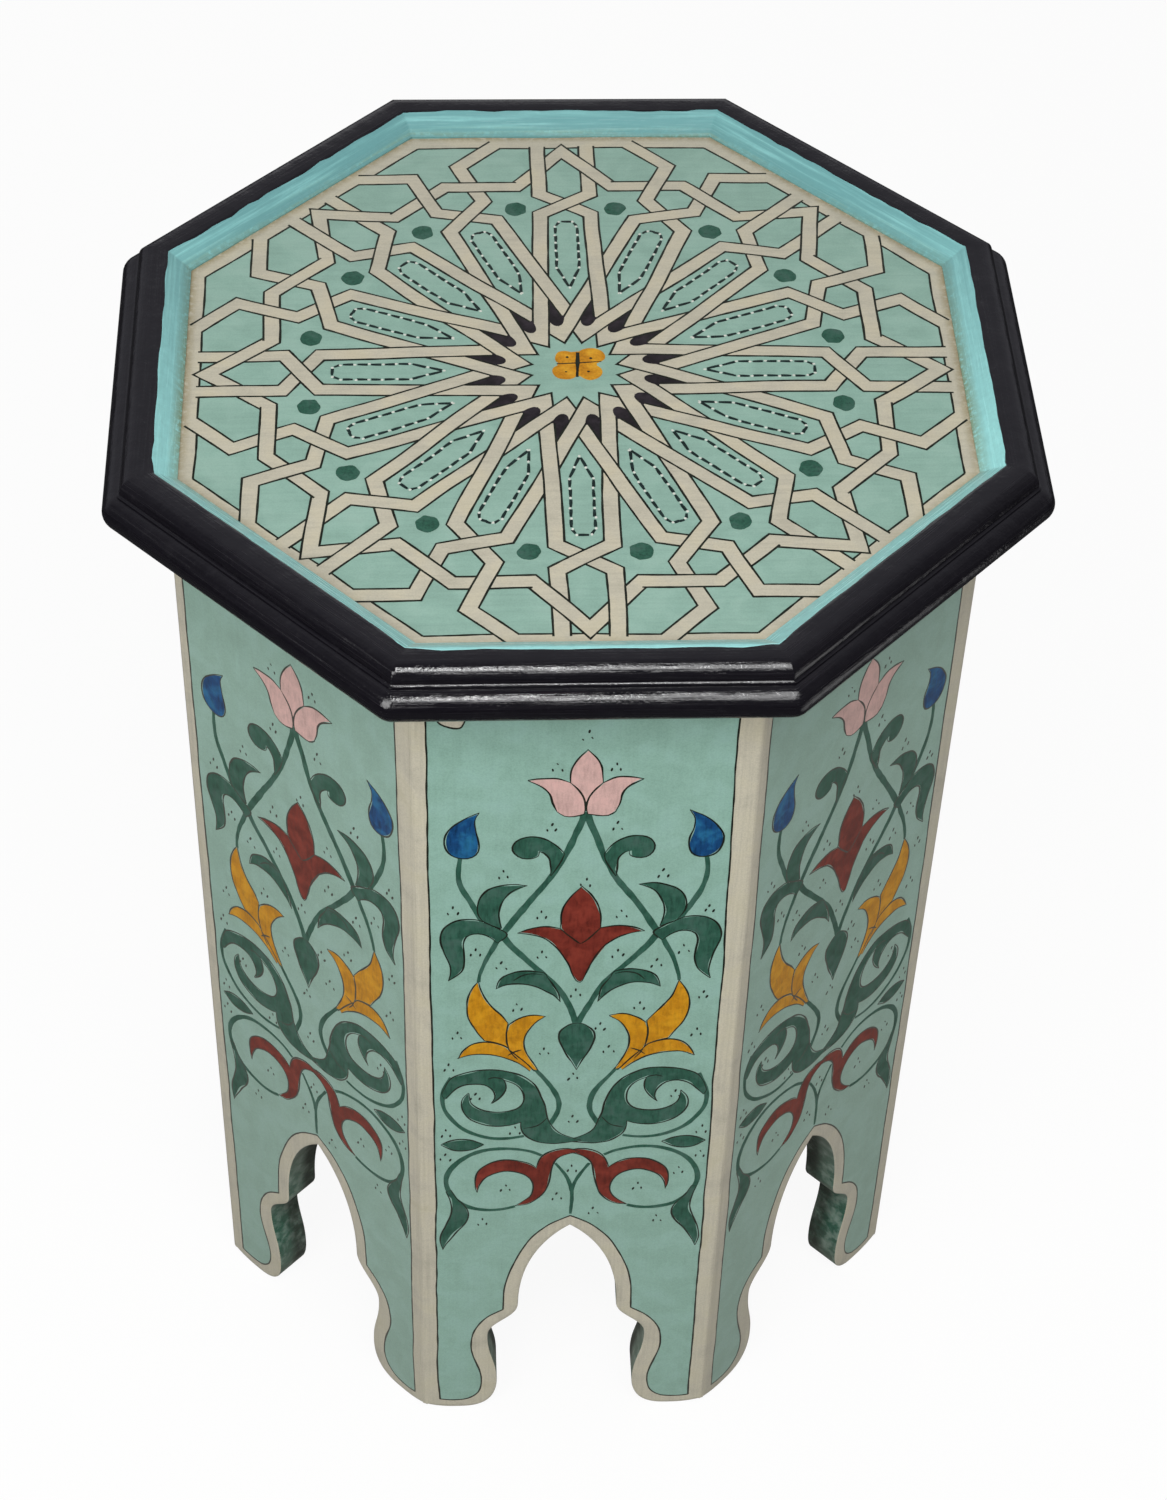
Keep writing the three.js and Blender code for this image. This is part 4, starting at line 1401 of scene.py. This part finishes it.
def crossing(one, other):
    """Where two lines first cross, with their directions there."""
    for a, b in zip(one, one[1:]):
        for c, d in zip(other, other[1:]):
            along, across = b - a, d - c
            spread = along.x * across.y - along.y * across.x
            if abs(spread) < PARALLEL:
                continue
            gap = c - a
            s = (gap.x * across.y - gap.y * across.x) / spread
            t = (gap.x * along.y - gap.y * along.x) / spread
            if 0 <= s <= 1 and 0 <= t <= 1:
                return a + along * s, along.normalized(), across.normalized()
    return None


OVERLAP = 0.15  # how far the upper band's cream reaches past the lower band's lines


def over(layers, upper, lower, half_band, half_line):
    """Clears the lower band's lines where the upper band passes over them."""
    found = crossing(upper, lower)
    if not found:
        return
    centre, along, across = found
    sine = abs(along.x * across.y - along.y * across.x)
    s = along * (half_band + half_line + OVERLAP) / sine
    t = across * (half_band - half_line) / sine
    corners = [centre + s + t, centre + s - t, centre - s - t, centre - s + t, centre + s + t]
    layers.append(("cream_top_paint", ruled(corners, LINE_STEP)[:-1]))


def banded(layers, lines, half_band, width):
    """The bands' cream, then the dark lines along their edges."""
    for line in lines:
        left, right = shifted(line, half_band), shifted(line, -half_band)
        layers.append(("cream_top_paint", ruled(left, LINE_STEP) + ruled(right, LINE_STEP)[::-1]))
    for seed, line in enumerate(lines):
        for side in (half_band, -half_band):
            edge = ruled(shifted(line, side), LINE_STEP)
            layers.append(("brush_ink", stroke(edge, (width, width), seed, pressure=0.35)))


def dashes(layers, axis):
    """The stitched hexagon in a petal, with a white dot in each gap."""
    outline = [Vector(p) for p in [*HEXAGON, *[(-x, y) for x, y in HEXAGON[::-1]]]]
    for start, end in zip(outline, outline[1:]):
        length = (end - start).length
        count = max(1, round(length / (DASH + DASH_GAP)))
        pitch = length / count
        for i in range(count):
            ends = [start.lerp(end, (i * pitch + d) / length) for d in (DASH_GAP / 2, pitch - DASH_GAP / 2)]
            mark = strayed(ends, axis + i * 0.61, *STRAY["dash"])
            dash = stroke(ruled(mark, 2), (DASH_WIDTH * 0.7, DASH_WIDTH, DASH_WIDTH))
            touch = strayed([start.lerp(end, i / count)], axis + i * 0.43, *STRAY["white dot"])[0]
            dot = disc(touch, WHITE_DOT, WHITE_DOT * 1.2, 8)
            layers += [("dash_ink", round_star(dash, axis)), ("dot_white_paint", round_star(dot, axis))]


def star_layers():
    """The star in the order it is painted: kites, border, bands, what passes over, hexagons and dots."""
    sizes = bpy.context.scene.stool_sizes
    half_band, width = sizes.band / MM / 2 - sizes.outline / MM / 2, STAR_INK * sizes.outline / MM
    layers = []
    inner, wing, tip = KITE
    across, out = wing * math.sin(AXIS_TURN / 2), wing * math.cos(AXIS_TURN / 2)
    kite = ruled([(0, inner), (across, out), (0, tip), (-across, out), (0, inner)], LINE_STEP)[:-1]
    for axis in range(AXES):
        layers.append(("kite_black_paint", round_star(kite, axis + 0.5)))
    reach, outer = BORDER * math.tan(HALF_TURN), CREAM_TO * math.tan(HALF_TURN)
    edge = [(-reach, BORDER), (reach, BORDER), (outer, CREAM_TO), (-outer, CREAM_TO), (-reach, BORDER)]
    for side in range(len(SIDES)):
        line = stroke(ruled(edge[:2], LINE_STEP), (width, width), side, pressure=0.4)
        layers.append(("cream_top_paint", round_star(ruled(edge, LINE_STEP)[:-1], 2 * side)))
        layers.append(("brush_ink", round_star(line, 2 * side)))
    zigzags = [zigzag(side) for side in range(len(SIDES))]
    banded(layers, [*(strand(axis) for axis in range(AXES)), *zigzags], half_band, width)
    for axis in range(AXES):
        right, left = outward_arm(axis), inward_arm(axis)
        for upper, lower in (
            (right, inward_arm(axis + 2)), (inward_arm(axis + 1), right), (right[1:3], left[1:]),
            (zigzags[axis // 2][1:-1], right[2:]), (left[:-2], zigzags[(axis + 1) // 2 % len(SIDES)][1:-1]),
        ):
            over(layers, upper, lower, half_band, width / 2)
    out, radius = GREEN_DOT
    for axis in range(AXES):
        foot = strayed(smooth(KITE_FOOT), axis * 1.7, *STRAY["kite foot"])
        layers.append(("kite_black_paint", round_star(foot, axis + 0.5)))
        dashes(layers, axis)
        spot = disc((0, out), radius, radius, 26)
        spot = strayed(spot, axis * 3.1, *STRAY["green dot"])
        layers.append(("leaf_green_paint", round_star(spot, axis + 0.5)))
    return layers


def star_window():
    """One eighth of the top, between the lines to two corners."""
    far = CREAM_TO / math.cos(HALF_TURN) + 1
    across, out = far * math.sin(HALF_TURN), far * math.cos(HALF_TURN)
    return [Vector((0, 0)), Vector((across, out)), Vector((-across, out))]


def on_top(x, y, height):
    return Vector((x, -y, PANEL_TOP + height))


STAR_PIECES = {
    "cream_top_paint": "star_bands", "brush_ink": "star_outlines", "kite_black_paint": "star_black_kites",
    "leaf_green_paint": "star_green_dots", "dash_ink": "star_dashes", "dot_white_paint": "star_white_dots",
}


class STOOL_OT_star(bpy.types.Operator):
    """Paints the sixteen-pointed woven star on the top, one piece for each paint"""

    bl_idname = "stool.star"
    bl_label = "Star of the top"

    def execute(self, context):
        sizes = context.scene.stool_sizes
        values = {
            "Level": 1.0, "Seed": 9.2, "Drift": sizes.star_drift, "Sway": sizes.star_sway,
            "Sway length": sizes.star_sway_length,
        }
        corners, areas = painted_areas(star_layers(), star_window())
        for paint, triangles in areas.items():
            mesh = paint_body(
                STAR_PIECES[paint], corners, triangles, on_top, faces_down=True,
                seam=lambda p: abs(abs(p[0]) - p[1] * math.tan(HALF_TURN)) < 2 * SEAM,
            )
            repeated(STAR_PIECES[paint], mesh, paint, **values)
        return {"FINISHED"}


# Flower in the middle of the top, in millimetres from the centre: its lobes as centre and half
# width and height, the cross over them and a dot in each
LOBES = [((-3.5, 5.0), 4.6, 4.5), ((7.0, 6.2), 5.8, 5.0), ((-4.1, -3.6), 5.3, 4.8), ((6.0, -3.9), 5.1, 5.0),
         ((1.2, 1.2), 8.2, 7.8)]
FLOWER_PLACE = (0, 2.2)  # a little behind the star's own centre
FLOWER_SWAY = 0.3
CROSS = [[(1.6, 8.6), (1.2, 0), (0.8, -7.0)], [(-7.4, 1.4), (2, 1.9), (11.2, 2.7)]]
CROSS_WIDTHS = (1.6, 0.6)
FLOWER_DOTS = [((-2.9, 5.6), 0.65), ((6.9, 4.8), 0.65), ((-3.7, -3.7), 0.45), ((5.6, -3.7), 0.6)]


class STOOL_OT_flower(bpy.types.Operator):
    """Paints the small four-lobed flower in the middle of the star"""

    bl_idname = "stool.flower"
    bl_label = "Flower in the middle"

    def place(self, x, y, height):
        return Vector((x + FLOWER_PLACE[0], y + FLOWER_PLACE[1], PANEL_TOP + height))

    def execute(self, context):
        layers = [
            ("flower_orange_paint", strayed(disc(centre, width, height, 30), number * 2.3, *STRAY["lobe"]))
            for number, (centre, width, height) in enumerate(LOBES)
        ]
        for line, width in zip(CROSS, CROSS_WIDTHS):
            arm = stroke(smooth(line), (width, width, width * 0.7), 2.0, pressure=0.4)
            layers.append(("brush_ink", arm))
        for place, size in FLOWER_DOTS:
            layers.append(("brush_ink", disc(place, size, size, 10)))
        corners, areas = painted_areas(layers)
        for paint, name in (("flower_orange_paint", "flower"), ("brush_ink", "flower_cross")):
            mesh = paint_body(name, corners, areas[paint], self.place)
            repeated(name, mesh, paint, Copies=1, Sway=FLOWER_SWAY * MM, Level=1.0)
        return {"FINISHED"}


# ---------------------------------------------------------------- CAD pieces that stay


PAINT_WRAP = 1.0  # how far down the edge of the top board the paint runs, in millimetres


def painted_board_material():
    """The top board: mint paint above, bare sawn softwood below, with the change hidden under the rim."""
    material = finishes()["mint_top_paint"].copy()
    material.name = "mint_painted_board"
    tree = material.node_tree
    shader = tree.nodes["Principled BSDF"]
    paint = shader.inputs["Base Color"].links[0].from_socket
    place = add(tree, "ShaderNodeTexCoord").outputs["Object"]
    drawn = add(tree, "ShaderNodeMapping", inputs={"Vector": place, "Scale": (0.02, 1, 1)})
    grain = add(tree, NOISE, inputs={
        "Vector": drawn, "Scale": per(2.4), "Detail": 5, "Roughness": 0.6, "Distortion": 0.6,
    })
    wood = tuple(bpy.context.scene.stool_colours.wood)
    stops = [(0.3, scaled(wood, 0.55)), (0.5, wood), (0.72, scaled(wood, 1.2))]
    bare = add(tree, RAMP, {"stops": stops}, {"Fac": grain})
    height = add(tree, "ShaderNodeSeparateXYZ", inputs=(place,)).outputs["Z"]
    below = add(tree, MATH, {"operation": "LESS_THAN"}, (height, (PANEL_TOP - PAINT_WRAP) * MM))
    feed(shader, {"Base Color": add(tree, MIX, COLOUR_MIX, {"Factor": below, "A": paint, "B": bare})})
    return material


class STOOL_OT_cad_pieces(bpy.types.Operator):
    """Gives the top board, glue blocks and pins, which stay as the CAD has them, their finish"""

    bl_idname = "stool.cad_pieces"
    bl_label = "Top board, glue blocks and pins"

    def execute(self, context):
        made = finishes()
        for name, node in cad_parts.items():
            if name == "top_board":
                finish = painted_board_material()
            elif name.startswith("corner_block"):
                finish = made["sawn_softwood"]
            elif "pin" in name:
                finish = made["drawn_steel"]
            else:
                continue
            for slot in node.material_slots:
                slot.link = "OBJECT"
                slot.material = finish
        return {"FINISHED"}


# ---------------------------------------------------------------- stage

# The photograph's camera, found from its outlines: place relative to the middle of the rim's top
CAMERA_LENS = 78.69
CAMERA_SENSOR = 36
CAMERA_CENTRE = (581.3, 749.0)  # optical axis in the photograph, in pixels
PHOTO = (1167, 1500)
CAMERA_YAW = 3.75
CAMERA_DOWN = 46.49
CAMERA_ROLL = -2.02
CAMERA_SIDE = 8.3
CAMERA_RISE = -162.1
CAMERA_DISTANCE = 1349.1

LAMPS = [
    # name, bearing and height in degrees as seen from the stool, distance and size in metres, watts
    ("key", 235, 30, 1.5, 1.0, 11),
    ("fill", 285, 52, 2.0, 1.2, 14),
    ("back", 90, 14, 2.2, 1.2, 1.2),
    ("glint", 265, 57, 2.0, 0.28, 5.5),
    ("low", 332, -28, 0.8, 0.55, 0.6),
]
LAMP_AIM = Vector((0, 0, 0.45))
WORLD_LIGHT = 0.4
GLOSS_SKY = (0.08, 0.28)  # what gloss paint mirrors of the studio: its dim front and its pale back wall
GLOSS_WALL = (-0.2, 0.65)  # how far back in the studio the one goes over into the other
GLOSS_TINT = linear("#F4F4FF")
FLOOR_HALF = 12
FLOOR_WHITE = linear("#F4F4F2")
FLOOR_BOUNCE = linear("#C0C0BE")  # the floor as the stool's own light meets it
FLOOR_MIRRORED = linear("#3A3A3C")  # and as gloss paint mirrors it: the dim floor beyond the paper
FLOOR_GLOW_SHARE = 0.93  # share of the floor's white that doesn't dim in the stool's shadow


class STOOL_OT_stage(bpy.types.Operator):
    """Makes the white floor, the soft studio light and the photograph's camera"""

    bl_idname = "stool.stage"
    bl_label = "Stage"

    def execute(self, context):
        scene = context.scene
        mesh = bpy.data.meshes.new("floor")
        corners = [(x * FLOOR_HALF, y * FLOOR_HALF, 0) for x, y in ((-1, -1), (1, -1), (1, 1), (-1, 1))]
        mesh.from_pydata(corners, [], [(0, 1, 2, 3)])
        floor = bpy.data.objects.new("floor", mesh)
        scene.collection.objects.link(floor)
        mesh.materials.append(self.paper())
        for name, bearing, height, distance, size, watts in LAMPS:
            lamp = bpy.data.lights.new(name, "AREA")
            lamp.shape = "DISK"
            lamp.size = size
            lamp.energy = watts
            holder = bpy.data.objects.new(name, lamp)
            turn = Matrix.Rotation(math.radians(bearing), 3, "Z")
            lift = Matrix.Rotation(-math.radians(height), 3, "Y")
            holder.location = LAMP_AIM + turn @ lift @ Vector((distance, 0, 0))
            holder.rotation_euler = (LAMP_AIM - holder.location).to_track_quat("-Z", "Y").to_euler()
            scene.collection.objects.link(holder)
        self.sky(scene)
        self.camera(scene)
        scene.view_settings.view_transform = "Standard"
        return {"FINISHED"}

    def paper(self):
        """Seamless white paper: matt, with a glow for the camera that keeps most of its white. It throws
        less light back on the stool than it shows, as paper does that is lit for itself."""
        material, tree, shader = new_finish("seamless_paper")
        ray = add(tree, "ShaderNodeLightPath").outputs
        seen, mirrored_ray = ray["Is Camera Ray"], ray["Is Glossy Ray"]
        white = add(tree, MIX, COLOUR_MIX, {"Factor": seen, "A": FLOOR_BOUNCE, "B": FLOOR_WHITE})
        floor = add(tree, MIX, COLOUR_MIX, {"Factor": mirrored_ray, "A": white, "B": FLOOR_MIRRORED})
        feed(shader, {"Base Color": floor, "Roughness": 0.9})
        glow = add(tree, "ShaderNodeEmission", inputs={"Color": WHITE, "Strength": 1.0})
        share = add(tree, MATH, {"operation": "MULTIPLY"}, (seen, FLOOR_GLOW_SHARE))
        lit = add(tree, "ShaderNodeMixShader", inputs=(share, shader, glow))
        feed(tree.nodes["Material Output"], {"Surface": lit})
        return material

    def sky(self, scene):
        """White to the camera, an even soft light, and a dim room with a pale back wall to gloss paint."""
        world = bpy.data.worlds.new("studio")
        world.use_nodes = True
        tree = world.node_tree
        light = feed(tree.nodes["Background"], {"Color": WHITE, "Strength": WORLD_LIGHT})
        backdrop = add(tree, "ShaderNodeBackground", inputs={"Color": WHITE, "Strength": 1.0})
        ray = add(tree, "ShaderNodeLightPath").outputs
        seen, mirrored_ray = ray["Is Camera Ray"], ray["Is Glossy Ray"]
        facing = add(tree, "ShaderNodeTexCoord").outputs["Generated"]
        depth = add(tree, "ShaderNodeSeparateXYZ", inputs=(facing,)).outputs["Y"]
        (front, back), (near, far) = GLOSS_SKY, GLOSS_WALL
        wall = add(tree, RANGE, {"interpolation_type": "SMOOTHSTEP"}, {
            "Value": depth, "From Min": near, "From Max": far, "To Min": front, "To Max": back,
        })
        room = add(tree, "ShaderNodeBackground", inputs={"Color": GLOSS_TINT, "Strength": wall})
        room = add(tree, "ShaderNodeMixShader", inputs=(mirrored_ray, light, room))
        shown = add(tree, "ShaderNodeMixShader", inputs=(seen, room, backdrop))
        feed(tree.nodes["World Output"], {"Surface": shown})
        scene.world = world

    def camera(self, scene):
        """The photograph's camera, turned about the upright through the middle of the rim's top."""
        data = bpy.data.cameras.new("camera")
        data.sensor_width = CAMERA_SENSOR
        data.lens = CAMERA_LENS
        data.shift_x = (PHOTO[0] / 2 - CAMERA_CENTRE[0]) / max(PHOTO)
        data.shift_y = (CAMERA_CENTRE[1] - PHOTO[1] / 2) / max(PHOTO)
        down, roll = math.radians(CAMERA_DOWN), math.radians(CAMERA_ROLL)
        forward = Vector((0, math.cos(down), -math.sin(down)))
        right, up = Vector((1, 0, 0)), Vector((0, math.sin(down), math.cos(down)))
        x = right * math.cos(roll) - up * math.sin(roll)
        y = right * math.sin(roll) + up * math.cos(roll)
        matrix = Matrix((x, y, -forward)).transposed().to_4x4()
        matrix.translation = (right * CAMERA_SIDE + up * CAMERA_RISE - forward * CAMERA_DISTANCE) * MM
        matrix = Matrix.Rotation(-math.radians(CAMERA_YAW), 4, "Z") @ matrix
        matrix.translation.z += RIM_TOP * MM
        camera = bpy.data.objects.new("camera", data)
        camera.matrix_world = matrix
        scene.collection.objects.link(camera)
        scene.camera = camera


OPERATORS = [
    STOOL_OT_boards, STOOL_OT_rim, STOOL_OT_side_ornament, STOOL_OT_star, STOOL_OT_flower,
    STOOL_OT_cad_pieces, STOOL_OT_stage,
]


class STOOL_PT_panel(bpy.types.Panel):
    """Lists the steps that build the stool, in order"""

    bl_idname = "STOOL_PT_panel"
    bl_label = "Painted Stool"
    bl_space_type = "VIEW_3D"
    bl_region_type = "UI"
    bl_category = "Stool"

    def draw(self, context):
        for step in OPERATORS:
            self.layout.operator(step.bl_idname)


CLASSES = [StoolSizes, StoolColours, *OPERATORS, STOOL_PT_panel]


def register():
    for each in CLASSES:
        bpy.utils.register_class(each)
    bpy.types.Scene.stool_sizes = bpy.props.PointerProperty(type=StoolSizes)
    bpy.types.Scene.stool_colours = bpy.props.PointerProperty(type=StoolColours)


def unregister():
    del bpy.types.Scene.stool_sizes
    del bpy.types.Scene.stool_colours
    for each in reversed(CLASSES):
        bpy.utils.unregister_class(each)


def main():
    register()
    for step in OPERATORS:
        group, name = step.bl_idname.split(".")
        getattr(getattr(bpy.ops, group), name)()


if __name__ == "__main__":
    main()
